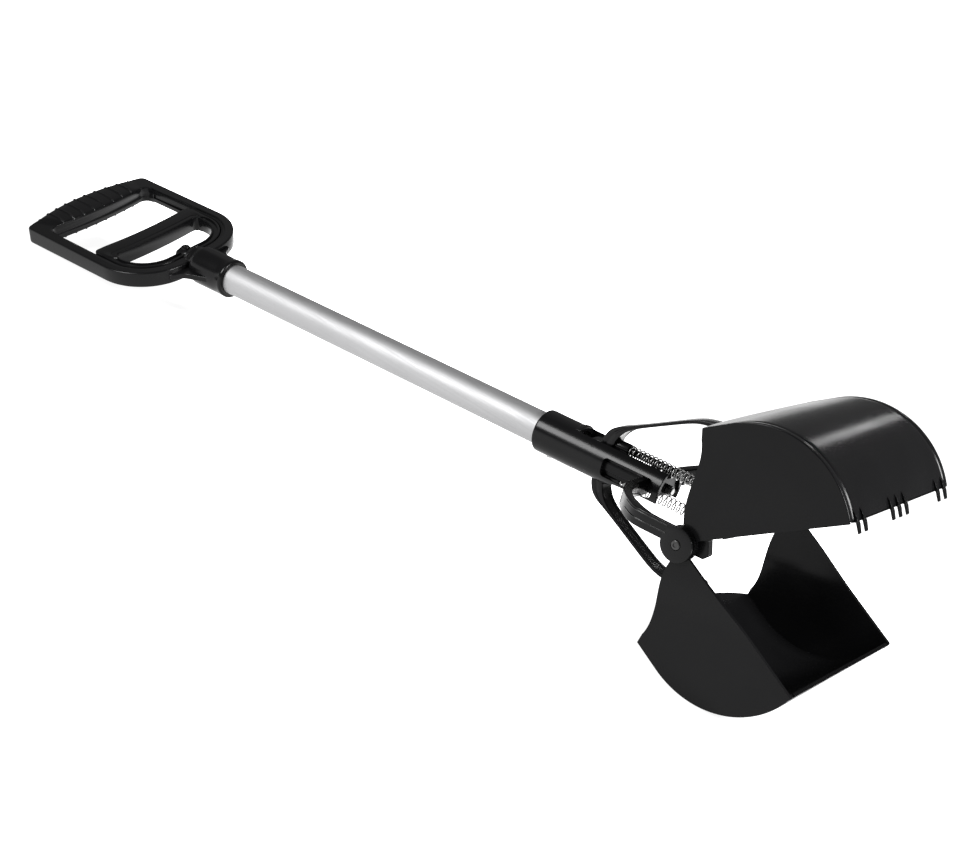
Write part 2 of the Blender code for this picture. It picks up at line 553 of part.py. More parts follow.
def side_profile(ear):
    """The side plate: lip, belly, back, concave rear edge, then the ear, or a notch clear of one."""
    points = [(JAW_LIP_X, LIP_Z)] + bowl_curve(0, 12)
    points += [(JAW_BACK_X + 0.6, JAW_ARC_Z + JAW_ARC_R), (JAW_BACK_X - 0.6, JAW_ARC_Z + JAW_ARC_R - 1.2)]
    points += fillet(REAR_EDGE + ([(4.0, 9.7, 0)] if ear else [(4.15, 10.3, 0)]), 12)
    if ear:
        return points + arc(0, 0, EAR_R, 66, 360 + math.degrees(LIP_Z / EAR_R), 21)
    return points + arc(0, 0, EAR_R + 0.5, 66.5, math.degrees(LIP_Z / EAR_R), 5)


def jaw(outside_ears):
    top = JAW_ARC_Z + JAW_ARC_R
    body = plate(side_profile(not outside_ears), -JAW_HW, JAW_HW, plane="XZ")
    hollow = [(-60, -20), (JAW_LIP_X - JAW_T, -20)] + bowl_curve(JAW_T, 12) + [(-60, top - JAW_T)]
    body = cut(body, plate(hollow, -JAW_HW + JAW_T, JAW_HW - JAW_T, plane="XZ"))
    tongue = [(JAW_BACK_X + 4, -JAW_HW + 1.2)] + [
        (JAW_BACK_X + 0.3 - TONGUE * (1 - (v / (JAW_HW - 1.2)) ** 2), v)
        for v in [(JAW_HW - 1.2) * k / 6.0 for k in range(-6, 7)]] + [(JAW_BACK_X + 4, JAW_HW - 1.2)]
    body = join(body, plate(tongue, top - JAW_T + 0.07, top - 0.07))
    # two lugs under the tongue for the link pin
    px, pz = LINK_R * math.cos(math.pi / 2 - OPEN / 2), LINK_R * math.sin(math.pi / 2 - OPEN / 2)
    for y0, y1 in ((7.6, 10.8), (-10.8, -7.6)):
        lug = plate([(px + 20, top - 1.0), (px + 5.6, top - 1.0), (px - 1.2, top - 3.0)]
                    + arc(px, pz, 4.4, 160, 275, 8), y0, y1, plane="XZ")
        body = join(body, lug)
    body = cut(body, cylinder("Y", -9.6, 9.6, LINK_PIN_R + 0.05 + GAP, centre=(px, 0, pz), n=12))
    for side in (-1, 1):
        if outside_ears:  # the ear stands outside the side plate, so it clears the other jaw's ear
            y0, y1 = JAW_HW + GAP, JAW_HW + GAP + 2.4
            ear = plate([(6.3, 19.0), (11.5, 27.0), (17.0, 27.0), (19.5, 9.0)] + arc(0, 0, EAR_R, 8, -292, 21),
                        *sorted((side * y0, side * y1)), plane="XZ")
            pad = plate([(5.7, 19.8), (11.0, 27.8), (17.8, 27.8), (20.5, 8.8), (14.9, 2.2), (12.9, 1.3)]
                        + arc(0, 0, EAR_R + 0.4, 9, 70, 5),
                        *sorted((side * (JAW_HW - 1.2), side * (y0 + 0.6))), plane="XZ")
            body = join(body, join(ear, pad))
        else:  # a lug inside the near-shut corner keeps the two jaws in line
            inner_y = JAW_HW - JAW_T
            lug = fillet([(7.6, 4.0, 0), (7.6, -8.5, 2), (12.6, -11.2, 2.4), (17.6, -2.0, 2), (21.0, 4.0, 0)], 30)
            lug = plate(lug, *sorted((side * (inner_y - 3.8), side * (inner_y - 0.35))), plane="XZ")
            root = plate([(8.4, 0.5), (19.0, 0.5), (20.2, 3.6), (8.4, 3.6)],
                         *sorted((side * (inner_y - 3.4), side * (inner_y + 0.8))), plane="XZ")
            body = join(body, join(lug, root))
    return cut(body, cylinder("Y", -90, 90, PIVOT_R + 0.35, n=16))


upper = jaw(outside_ears=False)
# raking teeth on the upper lip, outside the lower lip when shut
for y in (-61.0, -52.4, -16.0, -6.5, 3.0, 49.5, 59.5):
    tooth = [(JAW_LIP_X + 0.5, 0.0), (JAW_LIP_X + 0.5, -6.2), (JAW_LIP_X + 2.0, -6.2), (JAW_LIP_X + 2.6, -1.0),
             (JAW_LIP_X + 2.2, 5.0), (JAW_LIP_X - 0.6, 9.5), (JAW_LIP_X - 1.6, 9.5), (JAW_LIP_X - 1.2, 0.3)]
    upper = join(upper, plate(tooth, y - 1.1, y + 1.1, plane="XZ"))
finish("upper_jaw", upper, BLACK, upper_frame)

lower = jaw(outside_ears=True)
other = mirrored(lower, "Z")
bpy.data.objects.remove(lower, do_unlink=True)
finish("lower_jaw", other, BLACK, lower_frame)

PX, PZ = LINK_R * math.cos(math.pi / 2 - OPEN / 2), LINK_R * math.sin(math.pi / 2 - OPEN / 2)
for name, sign, frame_of in (("upper_link_pin", 1, upper_frame), ("lower_link_pin", -1, lower_frame)):
    finish(name, cylinder("Y", -9.3, 9.3, LINK_PIN_R, centre=(PX, 0, sign * PZ), n=12), STEEL, frame_of,
           (PX, 0, sign * PZ))

# ---------------------------------------------------------------- lay the tool down
# the floor touches the lower jaw's belly and the grip's low corner: pitch until both are level
def world_points(ob):
    return [ob.matrix_world @ vertex.co for vertex in ob.data.vertices]


bpy.context.view_layer.update()
grip_points = world_points(bpy.data.objects["handle_frame"])
jaw_points = world_points(bpy.data.objects["lower_jaw"])
pitch_low, pitch_high = math.radians(-15), math.radians(5)
for _ in range(40):
    pitch = (pitch_low + pitch_high) / 2
    heights = [min(p.z * math.cos(pitch) - p.x * math.sin(pitch) for p in points)
               for points in (grip_points, jaw_points)]
    if heights[0] < heights[1]:
        pitch_low = pitch
    else:
        pitch_high = pitch
tool.rotation_euler = (0, pitch, 0)
bpy.context.view_layer.update()

every = [p for ob in PARTS.objects for p in world_points(ob)]
low = Vector(min(p[i] for p in every) for i in range(3))
high = Vector(max(p[i] for p in every) for i in range(3))
tool.location = (-(low.x + high.x) / 2, -(low.y + high.y) / 2, -low.z)
bpy.context.view_layer.update()
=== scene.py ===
"""Looks of the pooper scooper: finishes, rounded mouldings, springs, camera and studio light."""

import json
import math

import bmesh
import bpy
import numpy as np
from mathutils import Matrix, Vector


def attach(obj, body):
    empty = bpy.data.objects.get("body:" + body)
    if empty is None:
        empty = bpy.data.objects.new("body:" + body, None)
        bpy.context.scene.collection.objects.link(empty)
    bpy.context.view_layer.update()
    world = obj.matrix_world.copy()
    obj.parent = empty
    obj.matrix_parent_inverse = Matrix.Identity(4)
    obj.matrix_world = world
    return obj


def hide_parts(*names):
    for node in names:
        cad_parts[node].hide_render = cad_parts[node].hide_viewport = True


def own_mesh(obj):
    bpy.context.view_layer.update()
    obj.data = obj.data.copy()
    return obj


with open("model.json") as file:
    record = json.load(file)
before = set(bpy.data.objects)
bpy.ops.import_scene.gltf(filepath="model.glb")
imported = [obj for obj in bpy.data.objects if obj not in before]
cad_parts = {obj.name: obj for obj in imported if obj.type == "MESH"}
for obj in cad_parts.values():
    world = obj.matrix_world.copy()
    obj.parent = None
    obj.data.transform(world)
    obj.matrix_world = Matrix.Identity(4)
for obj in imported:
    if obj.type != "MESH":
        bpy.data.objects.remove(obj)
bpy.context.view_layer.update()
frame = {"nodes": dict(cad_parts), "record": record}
NODES = frame["nodes"]

# ------------------------------------------------------------ the tool's own frame, in millimetres
# X along the tube from the lower sleeve's rear end to the jaws, Y to the far side, Z up
PITCH = math.radians(-5.351976)
TOOL = Matrix.Translation((0.1084993, 0.0, 0.0674662)) @ Matrix.Rotation(PITCH, 4, "Y") @ Matrix.Scale(0.001, 4)
TWIST = math.radians(20.5)
SOCKET_X = -282.3
GRIP = TOOL @ Matrix.Translation((SOCKET_X, 0, 0)) @ Matrix.Rotation(TWIST, 4, "X")
PIVOT_X = 151.4
OPEN = math.radians(30.4)
TRAVEL = 27.2
PIVOT = TOOL @ Matrix.Translation((PIVOT_X, 0, 0))
UPPER = PIVOT @ Matrix.Rotation(-OPEN, 4, "Y")
LOWER = PIVOT @ Matrix.Rotation(OPEN, 4, "Y") @ Matrix.Diagonal((1, 1, -1, 1))


# ------------------------------------------------------------ materials
def new_material(name):
    mat = bpy.data.materials.new(name)
    mat.use_nodes = True
    tree = mat.node_tree
    shader = tree.nodes["Principled BSDF"]
    return mat, tree, shader


def add(tree, kind, **values):
    node = tree.nodes.new(kind)
    for key, value in values.items():
        if key in node.inputs:
            node.inputs[key].default_value = value
        else:
            setattr(node, key, value)
    return node


def ramp(tree, source, stops):
    node = tree.nodes.new("ShaderNodeValToRGB")
    elements = node.color_ramp.elements
    while len(elements) < len(stops):
        elements.new(0.5)
    for element, (place, value) in zip(elements, stops):
        element.position = place
        element.color = (*value, 1.0) if isinstance(value, tuple) else (value, value, value, 1.0)
    tree.links.new(source, node.inputs["Fac"])
    return node.outputs["Color"]


def plastic(name, dark, light, rough, spread, grain, level):
    """Black moulded plastic: a fine pebbled skin with faint flow marks and slightly uneven gloss."""
    mat, tree, shader = new_material(name)
    link = tree.links.new
    where = add(tree, "ShaderNodeTexCoord").outputs["Object"]
    flow = add(tree, "ShaderNodeTexNoise", Scale=22.0, Detail=4.0, Roughness=0.55, Distortion=0.6)
    link(where, flow.inputs["Vector"])
    fine = add(tree, "ShaderNodeTexNoise", Scale=1500.0, Detail=2.0, Roughness=0.6)
    link(where, fine.inputs["Vector"])
    link(ramp(tree, flow.outputs["Fac"], [(0.3, dark), (0.72, light)]), shader.inputs["Base Color"])
    link(ramp(tree, flow.outputs["Fac"], [(0.28, rough - spread), (0.75, rough + spread)]), shader.inputs["Roughness"])
    bump = add(tree, "ShaderNodeBump", Strength=grain, Distance=0.0001)
    link(fine.outputs["Fac"], bump.inputs["Height"])
    link(bump.outputs["Normal"], shader.inputs["Normal"])
    shader.inputs["IOR"].default_value = 1.5
    shader.inputs["Specular IOR Level"].default_value = level
    return mat


BLACK = plastic("black_plastic", (0.0042, 0.0042, 0.0045), (0.0054, 0.0054, 0.0057), 0.21, 0.03, 0.02, 0.12)
BLACK_GLOSS = plastic("black_plastic_gloss", (0.0036, 0.0036, 0.0039), (0.0050, 0.0050, 0.0053), 0.22, 0.03, 0.012, 0.17)


def aluminium():
    """Satin anodised tube, with fine drawing lines along its length."""
    mat, tree, shader = new_material("satin_aluminium")
    link = tree.links.new
    where = add(tree, "ShaderNodeTexCoord").outputs["Object"]
    along = add(tree, "ShaderNodeMapping")
    along.inputs["Rotation"].default_value = (0, -PITCH, 0)
    along.inputs["Scale"].default_value = (6.0, 900.0, 900.0)
    link(where, along.inputs["Vector"])
    lines = add(tree, "ShaderNodeTexNoise", Scale=1.0, Detail=3.0, Roughness=0.6)
    link(along.outputs["Vector"], lines.inputs["Vector"])
    cloud = add(tree, "ShaderNodeTexNoise", Scale=14.0, Detail=2.0)
    link(where, cloud.inputs["Vector"])
    link(ramp(tree, cloud.outputs["Fac"], [(0.3, (0.43, 0.43, 0.435)), (0.7, (0.47, 0.47, 0.475))]),
         shader.inputs["Base Color"])
    link(ramp(tree, lines.outputs["Fac"], [(0.25, 0.54), (0.75, 0.66)]), shader.inputs["Roughness"])
    shader.inputs["Metallic"].default_value = 1.0
    bump = add(tree, "ShaderNodeBump", Strength=0.05, Distance=0.0001)
    link(lines.outputs["Fac"], bump.inputs["Height"])
    link(bump.outputs["Normal"], shader.inputs["Normal"])
    return mat


def zinc():
    """Bright zinc plate, slightly mottled."""
    mat, tree, shader = new_material("zinc_steel")
    link = tree.links.new
    where = add(tree, "ShaderNodeTexCoord").outputs["Object"]
    mottle = add(tree, "ShaderNodeTexNoise", Scale=260.0, Detail=3.0, Roughness=0.6)
    link(where, mottle.inputs["Vector"])
    link(ramp(tree, mottle.outputs["Fac"], [(0.3, (0.31, 0.31, 0.306)), (0.7, (0.42, 0.42, 0.415))]),
         shader.inputs["Base Color"])
    link(ramp(tree, mottle.outputs["Fac"], [(0.3, 0.2), (0.7, 0.32)]), shader.inputs["Roughness"])
    shader.inputs["Metallic"].default_value = 1.0
    return mat


def nylon():
    mat, tree, shader = new_material("white_nylon")
    link = tree.links.new
    where = add(tree, "ShaderNodeTexCoord").outputs["Object"]
    cloud = add(tree, "ShaderNodeTexNoise", Scale=120.0, Detail=3.0)
    link(where, cloud.inputs["Vector"])
    link(ramp(tree, cloud.outputs["Fac"], [(0.3, (0.70, 0.69, 0.64)), (0.7, (0.76, 0.75, 0.71))]),
         shader.inputs["Base Color"])
    link(ramp(tree, cloud.outputs["Fac"], [(0.3, 0.42), (0.7, 0.55)]), shader.inputs["Roughness"])
    return mat


def blackened():
    """Blackened steel of the screws, faintly mottled."""
    mat, tree, shader = new_material("black_screws")
    link = tree.links.new
    where = add(tree, "ShaderNodeTexCoord").outputs["Object"]
    mottle = add(tree, "ShaderNodeTexNoise", Scale=320.0, Detail=3.0, Roughness=0.6)
    link(where, mottle.inputs["Vector"])
    link(ramp(tree, mottle.outputs["Fac"], [(0.3, (0.012, 0.012, 0.012)), (0.7, (0.024, 0.024, 0.023))]),
         shader.inputs["Base Color"])
    link(ramp(tree, mottle.outputs["Fac"], [(0.3, 0.26), (0.7, 0.4)]), shader.inputs["Roughness"])
    return mat


ALU, ZINC, NYLON, DARK_STEEL = aluminium(), zinc(), nylon(), blackened()
SLOT_OF = {"black_plastic": BLACK, "satin_aluminium": ALU, "zinc_steel": ZINC, "white_nylon": NYLON,
           "black_screws": DARK_STEEL}
for sub in frame["record"]["subparts"]:
    node = NODES[sub["node"]]
    node.data.materials.clear()
    node.data.materials.append(SLOT_OF[sub["material_slot"]])

# rounded edges on the carried-over nodes
for name, ob in NODES.items():
    width = {"main_tube": 0.0002, "cross_shaft": 0.0003, "pull_rod": 0.0004}.get(name, 0.0005)
    if name.endswith("spring"):
        continue
    mod = ob.modifiers.new("round", "BEVEL")
    mod.width = width
    mod.segments = 2
    mod.limit_method = "ANGLE"
    mod.angle_limit = math.radians(35)
    mod.use_clamp_overlap = True
    mod.harden_normals = False

# ------------------------------------------------------------ shape helpers, all in millimetres
def piece(name, bm, matrix, mat, body, nodes=(), smooth=40.0):
    """Turns a mesh in millimetres into a named piece in the row frame that rides on its body."""
    bmesh.ops.recalc_face_normals(bm, faces=bm.faces)
    if bm.calc_volume(signed=True) < 0:
        bmesh.ops.reverse_faces(bm, faces=bm.faces)
    bm.transform(matrix)
    if matrix.determinant() < 0:
        bmesh.ops.reverse_faces(bm, faces=bm.faces)
    mesh = bpy.data.meshes.new(name)
    bm.to_mesh(mesh)
    bm.free()
    mesh.materials.append(mat)
    mesh.shade_smooth()
    if smooth:
        mesh.set_sharp_from_angle(angle=math.radians(smooth))
    ob = bpy.data.objects.new(name, mesh)
    bpy.context.scene.collection.objects.link(ob)
    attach(ob, body)
    if nodes:
        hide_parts(*nodes)
    return ob


def rounded(ob, width, segments=2, angle=30.0, weighted=True):
    """Rounds the sharp edges of a piece, width in millimetres, and evens out the shading of its flat faces."""
    mod = ob.modifiers.new("round", "BEVEL")
    mod.width = width * 0.001
    mod.segments = segments
    mod.limit_method = "ANGLE"
    mod.angle_limit = math.radians(angle)
    mod.use_clamp_overlap = True
    if weighted:
        ob.data.shade_smooth()
        for edge in ob.data.edges:
            edge.use_edge_sharp = False
        even = ob.modifiers.new("even", "WEIGHTED_NORMAL")
        even.weight = 60
        even.keep_sharp = True
    return ob


def arc(cx, cy, r, a0, a1, steps):
    return [(cx + r * math.cos(math.radians(a0 + (a1 - a0) * k / steps)),
             cy + r * math.sin(math.radians(a0 + (a1 - a0) * k / steps))) for k in range(steps + 1)]


def fillet(corners, step=6.0):
    """A polygon of (x, y, radius) corners as points, with each corner rounded by its radius."""
    points = []
    count = len(corners)
    for i, (x, y, r) in enumerate(corners):
        here = Vector((x, y))
        if r <= 0:
            points.append((x, y))
            continue
        a = (Vector(corners[i - 1][:2]) - here).normalized()
        b = (Vector(corners[(i + 1) % count][:2]) - here).normalized()
        half = a.angle(b) / 2
        centre = here + (a + b).normalized() * (r / math.sin(half))
        start = here + a * (r / math.tan(half)) - centre
        end = here + b * (r / math.tan(half)) - centre
        sweep = math.atan2(start.x * end.y - start.y * end.x, start.dot(end))
        steps = max(2, int(math.ceil(abs(math.degrees(sweep)) / step)))
        for k in range(steps + 1):
            t = sweep * k / steps
            points.append((centre.x + start.x * math.cos(t) - start.y * math.sin(t),
                           centre.y + start.x * math.sin(t) + start.y * math.cos(t)))
    return points


def smooth_line(points, spacing=1.2):
    """A smooth curve through 2D points, resampled evenly."""
    p = [Vector(q) for q in points]
    out = []
    for i in range(len(p) - 1):
        a, b, c, d = p[max(i - 1, 0)], p[i], p[i + 1], p[min(i + 2, len(p) - 1)]
        steps = max(1, int((c - b).length / spacing))
        for k in range(steps):
            t = k / steps
            out.append(0.5 * ((2 * b) + (c - a) * t + (2 * a - 5 * b + 4 * c - d) * t * t
                              + (-a + 3 * b - 3 * c + d) * t * t * t))
    out.append(p[-1])
    return [tuple(q) for q in out]


def prism(bm, outline, low, high, plane="XY"):
    """A closed outline extruded from low to high: XY along Z, XZ along Y, YZ along X."""
    place = {"XY": lambda a, b, h: (a, b, h), "XZ": lambda a, b, h: (a, h, b), "YZ": lambda a, b, h: (h, a, b)}[plane]
    lower = [bm.verts.new(place(a, b, low)) for a, b in outline]
    upper = [bm.verts.new(place(a, b, high)) for a, b in outline]
    bm.faces.new(lower)
    bm.faces.new(list(reversed(upper)))
    for i in range(len(outline)):
        j = (i + 1) % len(outline)
        bm.faces.new((lower[j], lower[i], upper[i], upper[j]))


def lathe(bm, profile, axis, centre=(0, 0, 0), n=48):
    """A closed (along, radius) profile turned about an axis through centre. Radius 0 ends close on the axis."""
    e = {"X": (Vector((1, 0, 0)), Vector((0, 1, 0)), Vector((0, 0, 1))),
         "Y": (Vector((0, 1, 0)), Vector((1, 0, 0)), Vector((0, 0, 1))),
         "Z": (Vector((0, 0, 1)), Vector((1, 0, 0)), Vector((0, 1, 0)))}[axis]
    c = Vector(centre)
    rings = []
    for along, radius in profile:
        if radius < 1e-6:
            rings.append([bm.verts.new(c + e[0] * along)])
        else:
            rings.append([bm.verts.new(c + e[0] * along + (e[1] * math.cos(2 * math.pi * k / n)
                                                           + e[2] * math.sin(2 * math.pi * k / n)) * radius)
                          for k in range(n)])
    closed = len(rings[0]) > 1 and len(rings[-1]) > 1
    pairs = list(zip(rings, rings[1:])) + ([(rings[-1], rings[0])] if closed else [])
    for a, b in pairs:
        for k in range(n):
            m = (k + 1) % n
            if len(a) == 1 and len(b) == 1:
                continue
            if len(a) == 1:
                bm.faces.new((a[0], b[m], b[k]))
            elif len(b) == 1:
                bm.faces.new((a[k], a[m], b[0]))
            else:
                bm.faces.new((a[k], a[m], b[m], b[k]))


def sweep(bm, frames, section, closed=False):
    """A closed section carried along frames of (origin, axis u, axis v); section(i) gives its (u, v) points."""
    rings = []
    for i, (o, u, v) in enumerate(frames):
        rings.append([bm.verts.new(Vector(o) + Vector(u) * a + Vector(v) * b) for a, b in section(i)])
    n = len(rings[0])
    pairs = list(zip(rings, rings[1:])) + ([(rings[-1], rings[0])] if closed else [])
    for a, b in pairs:
        for k in range(n):
            m = (k + 1) % n
            bm.faces.new((a[k], a[m], b[m], b[k]))
    if not closed:
        bm.faces.new(list(reversed(rings[0])))
        bm.faces.new(rings[-1])


def round_rect(w, h, r, steps=3):
    """A w by h rectangle about the origin with rounded corners."""
    pts = []
    for cx, cy, a in ((w / 2 - r, h / 2 - r, 0), (-w / 2 + r, h / 2 - r, 90), (-w / 2 + r, -h / 2 + r, 180), (w / 2 - r, -h / 2 + r, 270)):
        pts += arc(cx, cy, r, a, a + 90, steps)
    return pts


def step(x, a, b):
    t = min(max((x - a) / (b - a), 0.0), 1.0)
    return t * t * (3 - 2 * t)


# ------------------------------------------------------------ jaws
JAW_HW, JAW_T, LIP_X, ARC_R, ARC_X, ARC_Z, BACK_X, TONGUE, EAR_R = 68.0, 2.4, 105.0, 59.0, 46.0, 3.5, 27.5, 12.0, 10.5
TOP = ARC_Z + ARC_R


def jaw(name, matrix, body, nodes, lower):
    """A clamshell: shell, side plates and ears in one moulding, the shell's ends rolled into the plates."""
    path = [((LIP_X, 1.2), (1, 0)), ((LIP_X, 2.2), (1, 0))]
    steps = 44
    for k in range(steps + 1):
        a = math.pi / 2 * k / steps
        path.append(((ARC_X + ARC_R * math.cos(a), ARC_Z + ARC_R * math.sin(a)), (math.cos(a), math.sin(a))))
    path += [((38.0, TOP), (0, 1)), ((33.0, TOP), (0, 1)), ((BACK_X, TOP), (0, 1))]
    rear = []
    for k in range(41):
        t = k / 40.0
        w = ((1 - t) ** 3, 3 * t * (1 - t) ** 2, 3 * t * t * (1 - t), t ** 3)
        rear.append((w[0] * 25.6 + w[1] * 24.2 + w[2] * 8.0 + w[3] * 4.0, w[0] * 56.0 + w[1] * 40.0 + w[2] * 30.0 + w[3] * 9.7))
    ear = arc(0, 0, EAR_R, 66, 360, 36)
    open_edge = rear + ear + ([] if lower else [(22.0, 0.0), (40.0, 0.0)]) + [(74.0, 0.0), (104.3, 0.0)]
    half = [0, 6, 14, 22, 30, 38, 46, 54, 59.5, 61.9, 62.5, 63.2, 63.9, 64.5, 66.0]
    across = [-y for y in reversed(half[1:])] + half
    bm = bmesh.new()

    def sheet(outer):
        grid = []
        edge = JAW_HW if outer else JAW_HW - JAW_T
        scale = 1.0 if outer else (edge - 0.5) / 66.0
        for i, ((x, z), (nx, nz)) in enumerate(path):
            row = []
            for y in [-edge] + [v * scale for v in across] + [edge]:
                drop = 0.0 if outer else JAW_T
                if outer:
                    drop = 0.75 * max(0.0, 1 - ((abs(y) - 63.2) / 0.95) ** 2)
                px, pz = x - nx * drop, z - nz * drop
                if i >= len(path) - 3:
                    share = (i - (len(path) - 4)) / 3.0
                    px -= TONGUE * max(0.0, 1 - (y / 66.8) ** 2) * share
                row.append(bm.verts.new((px, y, pz)))
            grid.append(row)
        for a, b in zip(grid, grid[1:]):
            for k in range(len(a) - 1):
                bm.faces.new((a[k], a[k + 1], b[k + 1], b[k]))
        return grid

    outside, inside = sheet(True), sheet(False)
    for row in (0, -1):
        for k in range(len(outside[0]) - 1):
            bm.faces.new((outside[row][k], outside[row][k + 1], inside[row][k + 1], inside[row][k]))
    caps = []
    for side, column in ((-1, 0), (1, -1)):
        rim_out = [bm.verts.new((x, side * JAW_HW, z)) for x, z in open_edge]
        rim_in = [bm.verts.new((x, side * (JAW_HW - JAW_T), z)) for x, z in open_edge]
        full_out = [r[column] for r in outside] + rim_out
        full_in = [r[column] for r in inside] + rim_in
        caps += [bm.faces.new(full_out), bm.faces.new(full_in)]
        start = len(path) - 1
        for k in range(start, len(full_out)):
            m = (k + 1) % len(full_out)
            bm.faces.new((full_out[k], full_out[m], full_in[m], full_in[k]))
    if lower:  # the lower ears stand outside the upper ones: the plates lean outwards towards the pivot
        d = Vector((0.62, 0, 0.785))
        for t in (10, 12.5, 15, 17.5, 20, 23, 26, 30, 34, 38, 43):
            geom = caps + list({e for f in caps for e in f.edges}) + list({v for f in caps for v in f.verts})
            made = bmesh.ops.bisect_plane(bm, geom=geom, plane_co=d * t, plane_no=d)
            caps = list({f for f in made["geom"] if isinstance(f, bmesh.types.BMFace)})
        wall = {v for f in caps for v in f.verts}
        for v in wall:
            t = v.co.x * d.x + v.co.z * d.z
            out = abs(v.co.y) > JAW_HW - 1
            push = 2.6 * (1 - step(t, 17, 42)) if out else 2.8 * (1 - step(t, 12, 42))
            v.co.y += math.copysign(push, v.co.y)
    ob = piece(name, bm, matrix, BLACK, body, nodes, smooth=0)
    corner = ob.modifiers.new("corner", "BEVEL")
    corner.width = 0.0014
    corner.segments = 3
    corner.limit_method = "WEIGHT"
    weights = ob.data.attributes.new("bevel_weight_edge", "FLOAT", "EDGE")
    inverse = matrix.inverted()
    local = [inverse @ v.co for v in ob.data.vertices]
    for edge in ob.data.edges:
        a, b = (local[i] for i in edge.vertices)
        on_side = all(abs(abs(p.y) - JAW_HW) < 0.05 for p in (a, b))
        on_arc = all((p.x > 30 and abs(math.hypot(p.x - ARC_X, p.z - ARC_Z) - ARC_R) < 0.05 and p.x > ARC_X - 0.1)
                     or (p.x < ARC_X and abs(p.z - TOP) < 0.05) for p in (a, b))
        if on_side and on_arc:
            weights.data[edge.index].value = 1.0
    rounded(ob, 0.45, 2, 32.0)
    return ob


def jaw_trim(upper):
    """Raking teeth and corner lugs of the upper jaw, or the fine teeth along the lower lip."""
    bm = bmesh.new()
    if upper:
        tooth = fillet([(LIP_X - 1.2, 1.0, 0.2), (LIP_X + 0.3, -0.2, 0.3), (LIP_X + 0.35, -6.3, 0.4), (LIP_X + 1.5, -6.3, 0.5),
                        (LIP_X + 1.9, -1.0, 1.5), (LIP_X + 1.1, 4.5, 3.0), (LIP_X - 1.0, 9.6, 1.0), (LIP_X - 2.0, 9.4, 0.2)], 18)
        for y in (-61.0, -52.4, -16.0, -6.5, 3.0, 49.5, 59.5):
            prism(bm, tooth, y - 1.3, y + 1.3, "XZ")
        ob = piece("upper_jaw_teeth", bm, UPPER, BLACK, "upper_clamshell")
        rounded(ob, 0.5, 3, 35)
        bm = bmesh.new()
        for k in range(62):
            y = -62.0 + 2.0 * k
            prism(bm, [(102.8, 0.12), (104.9, 0.12), (104.95, 1.5), (102.7, 1.5)], y - 0.55, y + 0.55, "XZ")
        piece("upper_lip_teeth", bm, UPPER, BLACK, "upper_clamshell")
        bm = bmesh.new()
        lug = fillet([(5.6, 3.0, 0.5), (5.8, -8.2, 1.6), (10.6, -10.9, 2.0), (14.6, -9.6, 2.2), (16.6, -1.0, 1.5), (20.0, 3.0, 0.5)], 15)
        for side in (-1, 1):
            prism(bm, lug, *sorted((side * 65.2, side * 59.6)), "XZ")
        ob = piece("upper_jaw_lugs", bm, UPPER, BLACK, "upper_clamshell")
        return rounded(ob, 0.8, 3, 35)
    for k in range(62):
        y = -61.0 + 2.0 * k
        prism(bm, [(102.8, 0.12), (104.9, 0.12), (104.95, 1.5), (102.7, 1.5)], y - 0.55, y + 0.55, "XZ")
    return piece("lower_lip_teeth", bm, LOWER, BLACK, "lower_clamshell")


jaw("upper_jaw_shell", UPPER, "upper_clamshell", ["upper_jaw"], False)
jaw("lower_jaw_shell", LOWER, "lower_clamshell", ["lower_jaw"], True)
jaw_trim(True)
jaw_trim(False)


# link-pin lugs under each jaw's tongue
def link_lugs(name, matrix, body):
    link_r = TRAVEL / (2 * math.sin(OPEN / 2))
    px, pz = link_r * math.sin(OPEN / 2), link_r * math.cos(OPEN / 2)
    bm = bmesh.new()
    outline = [(px + 20, TOP - 1.0), (px + 5.6, TOP - 1.0), (px - 1.2, TOP - 2.6)] + arc(px, pz, 3.8, 160, 275, 12)
    for y0, y1 in ((7.6, 10.8), (-10.8, -7.6)):
        prism(bm, outline, y0, y1, "XZ")
    return rounded(piece(name, bm, matrix, BLACK, body), 0.5, 2, 35)


link_lugs("upper_jaw_pin_lugs", UPPER, "upper_clamshell")
link_lugs("lower_jaw_pin_lugs", LOWER, "lower_clamshell")

# ------------------------------------------------------------ D-grip, in the grip's frame: x = -s, y = v, z = n
def resample(points, n):
    """n + 1 points evenly spaced along a polyline."""
    lengths = [0.0]
    for a, b in zip(points, points[1:]):
        lengths.append(lengths[-1] + (Vector(b) - Vector(a)).length)
    out, i = [], 0
    for k in range(n + 1):
        t = lengths[-1] * k / n
        while i < len(points) - 2 and lengths[i + 1] < t:
            i += 1
        part = (t - lengths[i]) / max(lengths[i + 1] - lengths[i], 1e-9)
        out.append(tuple(Vector(points[i]).lerp(Vector(points[i + 1]), min(max(part, 0.0), 1.0))))
    return out


def corner_arc(p0, corner, p1, r, steps=10):
    """The rounded corner between two straight runs."""
    c = Vector(corner)
    a, b = (Vector(p0) - c).normalized(), (Vector(p1) - c).normalized()
    half = a.angle(b) / 2
    centre = c + (a + b).normalized() * (r / math.sin(half))
    start, end = c + a * (r / math.tan(half)) - centre, c + b * (r / math.tan(half)) - centre
    turn = math.atan2(start.x * end.y - start.y * end.x, start.dot(end))
    return [(centre.x + start.x * math.cos(turn * k / steps) - start.y * math.sin(turn * k / steps),
             centre.y + start.x * math.sin(turn * k / steps) + start.y * math.cos(turn * k / steps)) for k in range(steps + 1)]


def loop_pairs(segments):
    """Matched (inner, outer) points down one half of a D, mirrored to make the whole loop."""
    half = []
    for inner, outer, n in segments:
        a, b = resample(inner, n), resample(outer, n)
        pairs = list(zip(a, b))
        half += pairs if not half else pairs[1:]
    far = [((x, -y), (u, -v)) for (x, y), (u, v) in half[1:-1]]
    return half + list(reversed(far))


